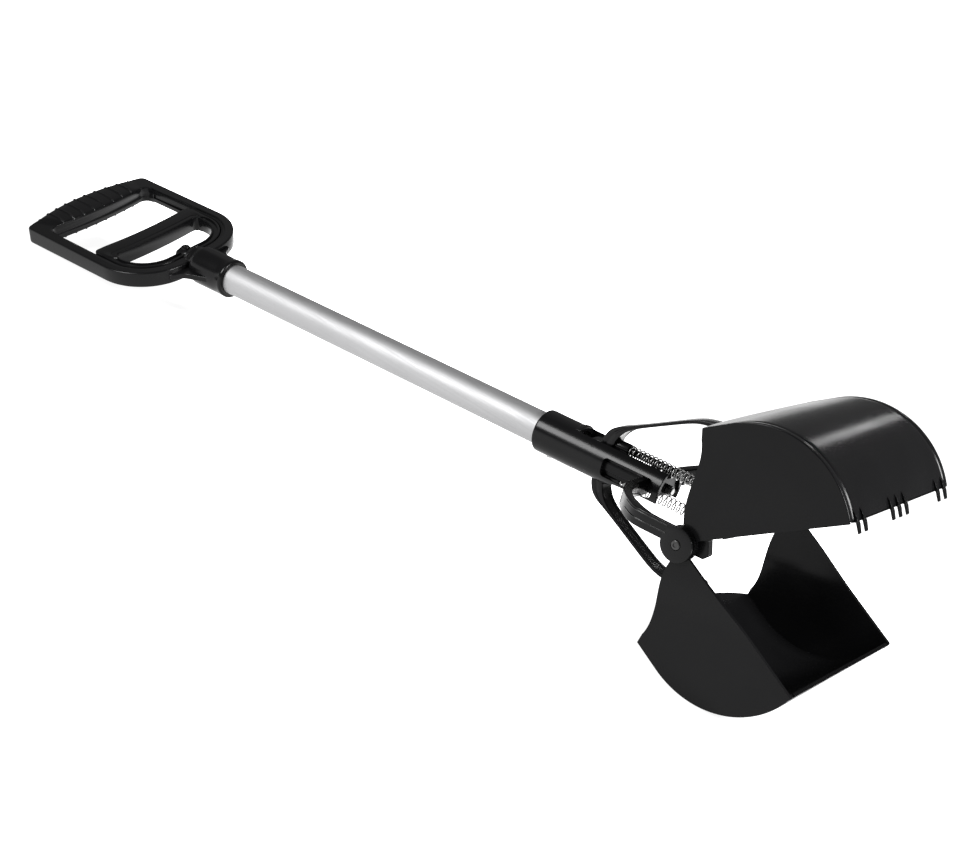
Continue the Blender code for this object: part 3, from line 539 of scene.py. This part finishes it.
def ring_piece(name, pairs, section, body, nodes, edge=0.0):
    """A closed ring whose section runs between matched inner and outer points."""
    bm = bmesh.new()
    frames, widths = [], []
    for inner, outer in pairs:
        a, b = Vector((*inner, 0)), Vector((*outer, 0))
        frames.append((a, (b - a).normalized(), Vector((0, 0, 1))))
        widths.append((b - a).length)
    sweep(bm, frames, lambda i: section(widths[i], pairs[i][0], pairs[i][1]), closed=True)
    ob = piece(name, bm, GRIP, BLACK_GLOSS, body, nodes, smooth=34)
    return ob


def d_section(w, inner, outer):
    """The D's section: rounded outer edge, stepped inner edge with the trigger's groove, a crowned ribbed grip."""
    s = -outer[0]
    grip = step(s, 150.0, 166.0) * (1 - step(abs(outer[1]), 40.0, 50.0))  # 1 on the grip bar
    ledge = 1.0 * (1 - step(-inner[0], 146.0, 150.0))
    groove = 0.02 + 1.98 * (1 - step(-inner[0], 145.0, 146.5))
    h = 6.0 + 1.7 * grip
    r_out = 1.3 + 2.6 * grip

    def rib(d):
        y = inner[1] + (outer[1] - inner[1]) * d / w
        near = min(abs(y - (-43.0 + 9.556 * k)) for k in range(10))
        return 0.75 * grip * max(0.0, 1 - (near / 0.7) ** 2)

    def top(d):
        u = (d - w * 0.5) / (w * 0.5)
        return 6.0 + (h - 6.0) * (1 - min(abs(u), 1.0) ** 2.4) + rib(d)

    e = 0.45
    upper = [(0.0, 6.0 - ledge - e), (e * 0.3, 6.0 - ledge - e * 0.3), (e, top(e) - ledge), (2.3, top(2.3) - ledge),
             (2.5, top(2.5) - 0.2 * ledge), (2.9, top(2.9))]
    inside = w - r_out
    for k in range(1, 9):
        d = 2.9 + (inside - 2.9) * k / 8
        upper.append((d, top(d)))
    edge_top = top(inside)
    for k in range(1, 7):
        a = math.pi / 2 * k / 6
        upper.append((inside + (r_out - 0.5 * grip + 0.6 * rib(w)) * math.sin(a), edge_top - r_out * (1 - math.cos(a))))
    lower = [(d, -z) for d, z in reversed(upper)]
    return upper + [(w - 0.5 * grip + 0.6 * rib(w), 0.0)] + lower + [(0.0, -1.7), (groove, -1.66), (groove, 1.66), (0.0, 1.7)]


def parabola(base, bulge, hw, y0, y1, n):
    return [(-(base + bulge * (1 - (y / hw) ** 2)), y) for y in [y0 + (y1 - y0) * k / n for k in range(n + 1)]]


outer_grip = parabola(171.0, 11.0, 55.29, 0.0, 40.0, 40)
inner_grip = parabola(157.0, -3.0, 46.075, 0.0, 31.6, 30)
outer_corner = corner_arc(outer_grip[-1], (-171.0, 57.0), (-39.5, 57.0), 5.0)
inner_corner = corner_arc(inner_grip[-1], (-157.0, 47.5), (-49.0, 47.5), 6.0)
inner_line = inner_grip + [inner_corner[0]]
outer_line = outer_grip + [outer_corner[0]]
cut_at = len(outer_grip)
split = tuple(Vector(outer_line[cut_at - 1]).lerp(Vector(outer_line[cut_at]), 0.6))
d_pairs = loop_pairs([
    (inner_line, outer_grip + [split], 120),
    (inner_corner, [split] + outer_corner, 44),
    ([inner_corner[-1], (-80.5, 47.5)], [outer_corner[-1], (-80.5, 57.0)], 40),
    (arc(-80.5, 16.0, 31.5, 90, 0, 24), arc(-80.5, 16.0, 41.0, 90, 0, 24), 30),
    ([(-49.0, 16.0), (-49.0, 0.0)], [(-39.5, 16.0), (-39.5, 0.0)], 8),
])
ring_piece("grip_moulding", d_pairs, d_section, "fixed_frame", ["handle_frame"])


# socket, with a rolled front rim, a cone and a neck into the D
bm = bmesh.new()
profile = [(-3.2, 11.4), (-3.2, 13.4), (-3.45, 14.0), (-4.1, 14.4), (-5.8, 14.4), (-6.3, 14.3), (-6.7, 14.15), (-12.0, 14.2),
           (-28.0, 14.35), (-34.0, 14.4), (-36.2, 14.1), (-37.6, 13.2), (-38.6, 12.2), (-40.2, 11.75), (-42.2, 11.9), (-43.6, 12.0),
           (-44.6, 11.6), (-45.4, 10.6), (-46.4, 9.7), (-48.7, 9.2), (-48.7, 5.0), (-43.2, 5.0), (-43.0, 11.2)]
lathe(bm, profile, "X", n=72)
socket = piece("grip_socket", bm, GRIP, BLACK_GLOSS, "fixed_frame", smooth=36)

bm = bmesh.new()
for side in (-1, 1):
    web = fillet([(-16.0, side * 13.6, 0.8), (-20.0, side * 10.0, 0.5), (-46.0, side * 8.0, 0.5), (-46.5, side * 30.0, 0.8), (-38.6, side * 28.5, 4.0),
                  (-35.0, side * 21.0, 8.0)], 15)
    prism(bm, web if side > 0 else list(reversed(web)), -2.1, 2.1)
webs = rounded(piece("grip_webs", bm, GRIP, BLACK_GLOSS, "fixed_frame"), 0.7, 3, 35)

# small moulded boss on the neck
bm = bmesh.new()
lathe(bm, [(5.0, 0.0), (5.0, 3.0), (8.1, 2.9), (8.7, 2.5), (9.0, 1.7), (9.1, 0.0)], "Z", (-44.4, 0, 0), n=32)
piece("neck_boss", bm, GRIP, BLACK_GLOSS, "fixed_frame", smooth=36)


# ------------------------------------------------------------ trigger
def trigger_section(w, inner, outer):
    """Raised rims with a channel between, a rail on the outside; the crossbar is broad and nearly flat."""
    s = -inner[0]
    bar = step(w, 8.0, 13.0)
    h = 5.5 + 0.3 * bar
    deep = 1.3 * (1 - bar) + 0.35 * bar
    rail = 0.02 + 1.65 * (1 - step(-outer[0], 95.0, 97.0))
    e = 0.5
    a0, a1 = 1.35, min(w - 1.6, 1.35 + 3.4)
    upper = [(0.0, h - e), (e * 0.3, h - e * 0.3), (e, h), (a0, h), (a0 + 0.3, h - deep), (a1 - 0.3, h - deep), (a1, h)]
    for k in (1, 2, 3):
        upper.append((a1 + (w - 0.8 - a1) * k / 3.0, h + (0.35 * bar * math.sin(math.pi * min(k / 3.0, 1.0)))))
    upper += [(w - 0.25, h - 0.25), (w, h - 0.8)]
    rails = [(w, 1.3), (w + rail, 1.22), (w + rail, -1.22), (w, -1.3)]
    lower = [(d, -z) for d, z in reversed(upper)]
    return upper + rails + lower


bow = lambda v: 2.0 * (1 - (v / 38.0) ** 2)
rear = [(-105.0 + bow(v), v) for v in range(0, 37, 2)]
front = [(-89.0 + bow(v), v) for v in range(0, 31, 2)]
rear_corner = corner_arc(rear[-1], (-105.0, 46.9), (-49.6, 46.9), 4.0)
front_corner = corner_arc(front[-1], (-89.0, 40.3), (-56.2, 40.3), 4.0)
t_pairs = loop_pairs([
    (front, rear, 24),
    ([front[-1]] + front_corner, [rear[-1]] + rear_corner, 24),
    ([front_corner[-1], (-80.5, 40.3)], [rear_corner[-1], (-80.5, 46.9)], 16),
    (arc(-80.5, 16.0, 24.3, 90, 0, 24), arc(-80.5, 16.0, 30.9, 90, 0, 24), 30),
    ([(-56.2, 16.0), (-56.2, 0.0)], [(-49.6, 16.0), (-49.6, 0.0)], 8),
])
ring_piece("trigger_moulding", t_pairs, trigger_section, "yoke", ["trigger"])

# hub on the trigger's centreline, where the rod ends, with a small knob on top
bm = bmesh.new()
lathe(bm, [(-59.6, 2.6), (-59.6, 6.4), (-59.2, 7.1), (-58.4, 7.4), (-51.6, 7.4), (-50.6, 7.1), (-50.1, 6.3), (-50.1, 2.6)], "X", n=48)
piece("trigger_hub", bm, GRIP, BLACK_GLOSS, "yoke", smooth=36)
bm = bmesh.new()
lathe(bm, [(5.5, 0.0), (5.5, 3.6), (7.6, 3.5), (8.3, 3.1), (8.6, 2.3), (8.6, 1.3), (8.2, 1.1), (8.1, 0.0)], "Z", (-55.2, 0, 0), n=36)
piece("trigger_knob", bm, GRIP, BLACK_GLOSS, "yoke", smooth=36)


# ------------------------------------------------------------ tube
TUBE_X0, TUBE_X1 = -325.0, 28.0
bm = bmesh.new()
lathe(bm, [(TUBE_X0, 10.0), (TUBE_X0, 10.75), (TUBE_X0 + 0.25, 11.0), (TUBE_X1 - 0.25, 11.0), (TUBE_X1, 10.75), (TUBE_X1, 10.0)],
      "X", n=96)
piece("tube_body", bm, TOOL, ALU, "fixed_frame", ["main_tube"], smooth=36)


# ------------------------------------------------------------ lower sleeve
def loose(bm, name):
    bmesh.ops.recalc_face_normals(bm, faces=bm.faces)
    if bm.calc_volume(signed=True) < 0:
        bmesh.ops.reverse_faces(bm, faces=bm.faces)
    mesh = bpy.data.meshes.new(name)
    bm.to_mesh(mesh)
    bm.free()
    ob = bpy.data.objects.new(name, mesh)
    bpy.context.scene.collection.objects.link(ob)
    return ob


def carve(bm, cutters):
    """Cuts closed meshes out of a closed mesh."""
    main = loose(bm, "work")
    for k, cutter_bm in enumerate(cutters):
        cutter = loose(cutter_bm, "cutter")
        mod = main.modifiers.new("cut", "BOOLEAN")
        mod.operation = "DIFFERENCE"
        mod.solver = "EXACT"
        mod.object = cutter
        graph = bpy.context.evaluated_depsgraph_get()
        graph.update()
        mesh = bpy.data.meshes.new_from_object(main.evaluated_get(graph), depsgraph=graph)
        main.modifiers.clear()
        main.data = mesh
        bpy.data.objects.remove(cutter, do_unlink=True)
    out = bmesh.new()
    out.from_mesh(main.data)
    bpy.data.objects.remove(main, do_unlink=True)
    bmesh.ops.remove_doubles(out, verts=out.verts, dist=0.0005)
    return out


SLEEVE_R, SLEEVE_BORE_R, SLEEVE_X0, SLEEVE_X1 = 14.3, 11.3, 4.4, 102.0
bm = bmesh.new()
lathe(bm, [(SLEEVE_X0, 11.3), (SLEEVE_X0, 12.9), (SLEEVE_X0 + 0.25, 13.6), (SLEEVE_X0 + 0.8, 14.1), (SLEEVE_X0 + 1.6, 14.3),
           (SLEEVE_X1 - 0.4, 14.3), (SLEEVE_X1, 13.9), (SLEEVE_X1, 11.3)], "X", n=96)
top_slot, low_slot, side_slot = bmesh.new(), bmesh.new(), bmesh.new()
prism(top_slot, fillet([(34.0, -7.7, 3.5), (110.0, -7.7, 0), (110.0, 7.7, 0), (34.0, 7.7, 3.5)]), 0.01, 20)
low_edge = [(34.0, -7.7, 3.5), (62.0, -7.7, 8), (69.0, -11.4, 6), (86.0, -12.2, 0), (110.0, -12.2, 0)]
prism(low_slot, fillet(low_edge + [(x, -y, r) for x, y, r in reversed(low_edge)]), -20, -0.01)
prism(side_slot, fillet([(59.4, -6.3, 2.5), (97.6, -6.3, 4.6), (97.6, 6.3, 4.6), (59.4, 6.3, 2.5)]), -20, 20, "XZ")
bm = carve(bm, [top_slot, low_slot, side_slot])
rounded(piece("sleeve_shell", bm, TOOL, BLACK_GLOSS, "fixed_frame", ["lower_sleeve"]), 0.45, 2, 35)

# raised lip behind the top slot
bm = bmesh.new()
frames = []
for k in range(25):
    a = math.radians(58 + 64 * k / 24)
    frames.append(((33.0, 14.1 * math.cos(a), 14.1 * math.sin(a)), (1, 0, 0), (0, math.cos(a), math.sin(a))))
sweep(bm, frames, lambda i: [(-3.2, -0.8), (-2.8, 0.35), (-1.6, 0.8), (0.9, 1.0), (1.5, 0.7), (1.8, -0.8)])
rounded(piece("sleeve_lip", bm, TOOL, BLACK_GLOSS, "fixed_frame"), 0.3, 2, 35)


# screw under the sleeve, sunk flush
bm = bmesh.new()
lathe(bm, [(-14.75, 0.0), (-14.75, 1.1), (-14.95, 1.3), (-14.95, 2.5), (-14.7, 2.9), (-14.0, 3.0), (-10.0, 1.6), (-8.6, 1.5), (-8.6, 0.0)], "Z",
      (14.0, 0, 0), n=32)
piece("sleeve_screw_head", bm, TOOL, DARK_STEEL, "fixed_frame", ["sleeve_screw"], smooth=36)

# ------------------------------------------------------------ sliding yoke
# side walls of the slider, which close the sleeve's side slots from inside
bm = bmesh.new()
for side in (-1, 1):
    prism(bm, fillet([(56.4, -5.2, 1.0), (83.0, -5.2, 0.3), (83.0, 5.2, 0.3), (56.4, 5.2, 1.0)], 20), *sorted((side * 8.3, side * 9.3)), "XZ")
rounded(piece("slider_side_walls", bm, TOOL, BLACK, "yoke"), 0.3, 2, 35)

def arm_rise(y):
    t = min(max((abs(y) - 25.0) / 44.0, 0.0), 1.0)
    return 4.75 * (0.5 * t + 0.5 * t * t * (3 - 2 * t))


def yoke_arm(name, nodes, mirror):
    """Crossbar through the side slot, a wide bend, a strip out to the pivot and its round eye."""
    outer = smooth_line([(88.0, 2.45), (88.0, 12.0), (88.0, 23.0), (89.5, 33.0), (95.9, 47.3), (102.9, 57.4), (110.0, 65.3), (117.3, 71.1),
                         (123.8, 73.1), (134.0, 73.3), (143.0, 73.3), (150.4, 73.3)])
    inner = smooth_line([(92.5, 2.45), (92.5, 12.0), (92.5, 22.0), (94.0, 27.2), (99.1, 40.8), (104.4, 50.7), (110.8, 58.7), (116.5, 63.3),
                         (122.5, 67.1), (127.3, 69.2), (132.1, 70.6), (141.0, 71.1), (150.4, 71.1)])
    a, b = resample(inner, 110), resample(outer, 110)
    bm = bmesh.new()
    frames, widths = [], []
    for p, q in zip(a, b):
        mid = (Vector(p) + Vector(q)) / 2
        d = Vector(q) - Vector(p)
        frames.append(((mid.x, mid.y, 0), (d.x / d.length, d.y / d.length, 0), (0, 0, 1)))
        widths.append(d.length)

    def section(i):
        y = frames[i][0][1]
        low = arm_rise(y) - 5.5 + 2.1 * (1 - step(y, 7.0, 8.6))
        high = arm_rise(y) + 5.5
        r = min(0.75, widths[i] * 0.3)
        return [(u, (low + high) / 2 + v) for u, v in round_rect(widths[i], high - low, r, 3)]

    sweep(bm, frames, section)
    lathe(bm, [(71.0, 2.85), (71.0, 10.0), (71.15, 10.35), (71.5, 10.5), (72.9, 10.5), (73.25, 10.35), (73.4, 10.0), (73.4, 3.25), (73.1, 3.0), (72.6, 2.85)],
          "Y", (PIVOT_X, 0, 0), n=72)
    for height in (3.7, -0.9):
        line = [(Vector(p), Vector(q)) for p, q in zip(a, b) if 109.0 < q[0] < 143.5]
        rib = []
        for p, q in line:
            d = (q - p).normalized()
            rib.append(((q.x, q.y, arm_rise(q.y) + height), (d.x, d.y, 0), (0, 0, 1)))
        sweep(bm, rib, lambda i: [(-0.3, -0.55), (0.18, -0.4), (0.38, 0.0), (0.18, 0.4), (-0.3, 0.55)])
    ob = piece(name, bm, TOOL @ mirror, BLACK_GLOSS, "yoke", nodes, smooth=38)
    # screw in the shaft's end, down in the eye's raised ring
    bm = bmesh.new()
    lathe(bm, [(73.02, 0.0), (73.02, 2.8), (73.55, 2.75), (73.8, 2.5), (73.9, 2.0), (73.9, 1.5), (73.4, 1.35), (73.4, 0.0)], "Y",
          (PIVOT_X, 0, 0), n=48)
    return ob, bm


FLIP_Y = Matrix.Diagonal((1, -1, 1, 1))
for name, nodes, mirror in (("far_yoke_moulding", ["far_yoke_arm"], Matrix.Identity(4)), ("near_yoke_moulding", ["near_yoke_arm"], FLIP_Y)):
    ob, bm = yoke_arm(name, nodes, mirror)
    side = name.split("_")[0]
    piece(side + "_pivot_screw_head", bm, TOOL @ mirror, DARK_STEEL, "yoke", [side + "_pivot_screw"], smooth=36)

# ------------------------------------------------------------ fixed link arms
LINK_R = TRAVEL / (2 * math.sin(OPEN / 2))
PIN_X, PIN_Z = PIVOT_X - LINK_R * math.sin(OPEN / 2), LINK_R * math.cos(OPEN / 2)
PIN_RISE = LINK_R * (1 - math.cos(OPEN / 2))


def spline(points, t):
    i = min(int(t), len(points) - 2)
    t -= i
    a, b, c, d = (Vector(points[k]) for k in (max(i - 1, 0), i, i + 1, min(i + 2, len(points) - 1)))
    return 0.5 * ((2 * b) + (c - a) * t + (2 * a - 5 * b + 4 * c - d) * t * t + (-a + 3 * b - 3 * c + d) * t * t * t)


def stadium(r, n=14):
    return arc(PIN_X, PIN_Z, r, 180, 360, n) + arc(PIN_X, PIN_Z + PIN_RISE, r, 0, 180, n)


def link_arm(name, nodes, mirror, spring_z):
    """A root held in the sleeve's slot, a curved web and a channelled strip out to its oblong eye."""
    outer = [(42.5, 11.0), (49.8, 12.0), (50.5, 14.5), (51.4, 17.2), (53.6, 21.2), (57.8, 24.8), (64.0, 27.8), (70.5, 31.0), (78.0, 34.8),
             (96.0, 44.2), (104.0, 48.2), (110.0, 50.6), (117.0, 52.2), (126.0, 53.4), (134.8, 54.6)]
    inner = [(42.5, 3.8), (55.2, 6.2), (57.4, 10.4), (58.8, 13.0), (60.0, 17.0), (62.6, 21.6), (66.6, 25.5), (72.1, 29.1), (79.5, 33.2),
             (97.1, 42.4), (105.0, 46.3), (110.9, 48.5), (117.5, 49.8), (126.2, 50.7), (134.8, 51.0)]
    bm = bmesh.new()
    frames, widths = [], []
    steps = 140
    for k in range(steps + 1):
        t = (len(outer) - 1) * k / steps
        p, q = spline(inner, t), spline(outer, t)
        d = q - p
        frames.append(((p.x, 0, p.y), (d.x / d.length, 0, d.y / d.length), (0, 1, 0)))
        widths.append(d.length)

    def section(i):
        w = widths[i]
        c = 0.75 * step(frames[i][0][0], 60.0, 66.0)
        half = [(c, 0.0), (c, 3.7), (c * 0.45, 4.0), (0.0, 4.15), (0.0, 5.35), (0.12, 5.65), (0.4, 5.8), (w * 0.40, 5.8), (w * 0.46, 5.5),
                (w * 0.60, 5.5), (w * 0.66, 5.8), (w - 0.45, 5.8), (w - 0.12, 5.65), (w, 5.3), (w, 0.0)]
        return half + [(a, -b) for a, b in reversed(half[1:-1])]

    sweep(bm, frames, section)
    # eye
    ring_out, ring_in = stadium(4.6), stadium(2.35)
    loops = []
    for loop, y in ((ring_out, 5.3), (ring_out, -5.3), (ring_in, -5.8), (ring_in, 5.8)):
        loops.append([bm.verts.new((x, y, z)) for x, z in loop])
    mid_out = [[bm.verts.new((PIN_X + (x - PIN_X) * 0.93, y, z - (z - PIN_Z) * 0.06)) for x, z in ring_out] for y in (-5.8, 5.8)]
    order = [loops[0], loops[1], mid_out[0], loops[2], loops[3], mid_out[1]]
    for a, b in zip(order, order[1:] + order[:1]):
        for k in range(len(a)):
            m = (k + 1) % len(a)
            bm.faces.new((a[k], a[m], b[m], b[k]))
    ob = piece(name, bm, TOOL @ mirror, BLACK_GLOSS, "fixed_frame", nodes, smooth=34)
    bm = bmesh.new()
    lathe(bm, [(57.0, 0.0), (57.0, 4.0), (67.8, 4.1), (68.35, 3.9), (68.6, 3.5), (68.6, 2.5), (72.8, 2.45), (73.3, 2.0), (73.4, 0.0)], "X",
          (0, 0, spring_z), n=40)
    piece(name.replace("moulding", "spring_seat"), bm, TOOL @ mirror, BLACK_GLOSS, "fixed_frame", smooth=36)


FLIP_Z = Matrix.Diagonal((1, 1, -1, 1))
link_arm("upper_link_moulding", ["upper_link_arm"], Matrix.Identity(4), 12.3)
link_arm("lower_link_moulding", ["lower_link_arm"], FLIP_Z, 7.5)


# ------------------------------------------------------------ return springs
def spring(name, node, z0, z1):
    """A compression spring with closed ends, built at one fixed length."""
    x0, x1, turns, per_turn, wire, r = 68.9, 146.9, 25, 24, 0.48, 3.55
    lead = wire + 0.02
    closed = 2 * wire * 1.08
    path = []
    for k in range(turns * per_turn + 1):
        t = k / per_turn
        if t < 1:
            x = lead + closed * t * t * 0.9
        elif t > turns - 1:
            x = (x1 - x0) - lead - closed * (turns - t) ** 2 * 0.9
        else:
            x = lead + closed * 0.9 + ((x1 - x0) - 2 * lead - 2 * closed * 0.9) * (t - 1) / (turns - 2)
        a = 2 * math.pi * t
        share = x / (x1 - x0)
        path.append(Vector((x0 + x, r * math.sin(a), z0 + (z1 - z0) * share + r * math.cos(a))))
    bm = bmesh.new()
    frames = []
    for k, p in enumerate(path):
        ahead = (path[min(k + 1, len(path) - 1)] - path[max(k - 1, 0)]).normalized()
        a = 2 * math.pi * k / per_turn
        out = Vector((0, math.sin(a), math.cos(a)))
        side = ahead.cross(out).normalized()
        frames.append((p, out, side))
    sweep(bm, frames, lambda i: [(wire * math.cos(2 * math.pi * k / 8), wire * math.sin(2 * math.pi * k / 8)) for k in range(8)])
    ob = piece(name, bm, TOOL, ZINC, "fixed_frame", [node], smooth=50)
    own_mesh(ob)


spring("upper_spring_coil", "upper_spring", 12.3, 11.6)
spring("lower_spring_coil", "lower_spring", -7.5, -7.1)

# ------------------------------------------------------------ floor, backdrop, light, camera
floor_mesh = bpy.data.meshes.new("floor")
bm = bmesh.new()
bmesh.ops.create_grid(bm, x_segments=1, y_segments=1, size=12.0)
bm.to_mesh(floor_mesh)
bm.free()
floor = bpy.data.objects.new("floor", floor_mesh)
bpy.context.scene.collection.objects.link(floor)
floor.location = (0, 0, -0.0002)
mat, tree, shader = new_material("pale_floor")
where = add(tree, "ShaderNodeTexCoord").outputs["Object"]
cloud = add(tree, "ShaderNodeTexNoise", Scale=3.0, Detail=2.0)
tree.links.new(where, cloud.inputs["Vector"])
tree.links.new(ramp(tree, cloud.outputs["Fac"], [(0.3, (0.34, 0.34, 0.34)), (0.7, (0.37, 0.37, 0.37))]),
               shader.inputs["Base Color"])
tree.links.new(ramp(tree, cloud.outputs["Fac"], [(0.3, (0.99, 0.99, 0.99)), (0.7, (1.0, 1.0, 1.0))]),
               shader.inputs["Emission Color"])
# painted light: the floor glows. Its emission is 0.92 on the near side and 0.98 far behind, which keeps it evenly
# white. A strip between Y 0.02 and 0.34 m glows up to 2 stronger, a lamp painted into the floor behind the tool that
# lights its side faces from low behind.
glow = add(tree, "ShaderNodeSeparateXYZ")
tree.links.new(where, glow.inputs["Vector"])
rise = add(tree, "ShaderNodeMapRange", **{"From Min": 0.02, "From Max": 0.12, "To Min": 0.0, "To Max": 2.0})
fall = add(tree, "ShaderNodeMapRange", **{"From Min": 0.22, "From Max": 0.34, "To Min": 1.0, "To Max": 0.03})
both = add(tree, "ShaderNodeMath")
both.operation = "MULTIPLY_ADD"
tree.links.new(glow.outputs["Y"], rise.inputs["Value"])
tree.links.new(glow.outputs["Y"], fall.inputs["Value"])
tree.links.new(rise.outputs["Result"], both.inputs[0])
tree.links.new(fall.outputs["Result"], both.inputs[1])
both.inputs[2].default_value = 0.92
tree.links.new(both.outputs["Value"], shader.inputs["Emission Strength"])
shader.inputs["Roughness"].default_value = 0.6
shader.inputs["Specular IOR Level"].default_value = 0.2
floor_mesh.materials.append(mat)

world = bpy.data.worlds.new("studio")
bpy.context.scene.world = world
world.use_nodes = True
world.node_tree.nodes["Background"].inputs["Color"].default_value = (1.0, 1.0, 1.0, 1.0)
studio = world.node_tree
seen = studio.nodes.new("ShaderNodeLightPath")
level = studio.nodes.new("ShaderNodeMapRange")
level.inputs["To Min"].default_value, level.inputs["To Max"].default_value = 0.16, 1.0
studio.links.new(seen.outputs["Is Camera Ray"], level.inputs["Value"])
studio.links.new(level.outputs["Result"], studio.nodes["Background"].inputs["Strength"])


def area_light(name, place, target, size, size_y, power):
    data = bpy.data.lights.new(name, "AREA")
    data.shape = "RECTANGLE"
    data.size, data.size_y = size, size_y
    data.energy = power
    light = bpy.data.objects.new(name, data)
    bpy.context.scene.collection.objects.link(light)
    light.location = place
    light.rotation_mode = "QUATERNION"
    light.rotation_quaternion = (Vector(target) - Vector(place)).to_track_quat("-Z", "Y")
    return light


area_light("key", (-0.52, -0.91, 0.68), (0.12, 0.0, 0.06), 0.42, 0.5, 14.0)
area_light("front", (1.05, 0.1, 0.75), (0.3, 0.0, 0.03), 0.35, 0.35, 20.0)
area_light("rear", (0.0, 1.33, 0.73), (0.3, 0.0, 0.15), 0.1, 0.05, 0.32)
area_light("top", (-1.0, 0.9, 1.45), (0.0, 0.0, 0.05), 1.4, 1.4, 0.8)

# camera at the photograph's angle, given in the tool's frame
right = Vector((0.7657567, 0.5971719, 0.2387796))
down = Vector((0.3787971, -0.1185898, -0.9179347))
ahead = Vector((-0.5200556, 0.7931684, -0.3170219))
shift = Vector((35.80914, 1.8499, 1071.98250))
turn = Matrix((right, down, ahead))
eye = -(turn.transposed() @ shift)
axes = Matrix.Rotation(PITCH, 3, "Y") @ Matrix((right, -down, -ahead)).transposed()
cam_data = bpy.data.cameras.new("camera")
camera = bpy.data.objects.new("camera", cam_data)
bpy.context.scene.collection.objects.link(camera)
camera.rotation_mode = "QUATERNION"
camera.rotation_quaternion = axes.to_quaternion()
camera.location = TOOL @ eye
cam_data.sensor_fit = "HORIZONTAL"
cam_data.sensor_width = 36.0
cam_data.lens = 1664.6753 / 967.0 * 36.0
cam_data.clip_start, cam_data.clip_end = 0.02, 60.0
bpy.context.scene.camera = camera
bpy.context.scene.view_settings.view_transform = "Standard"
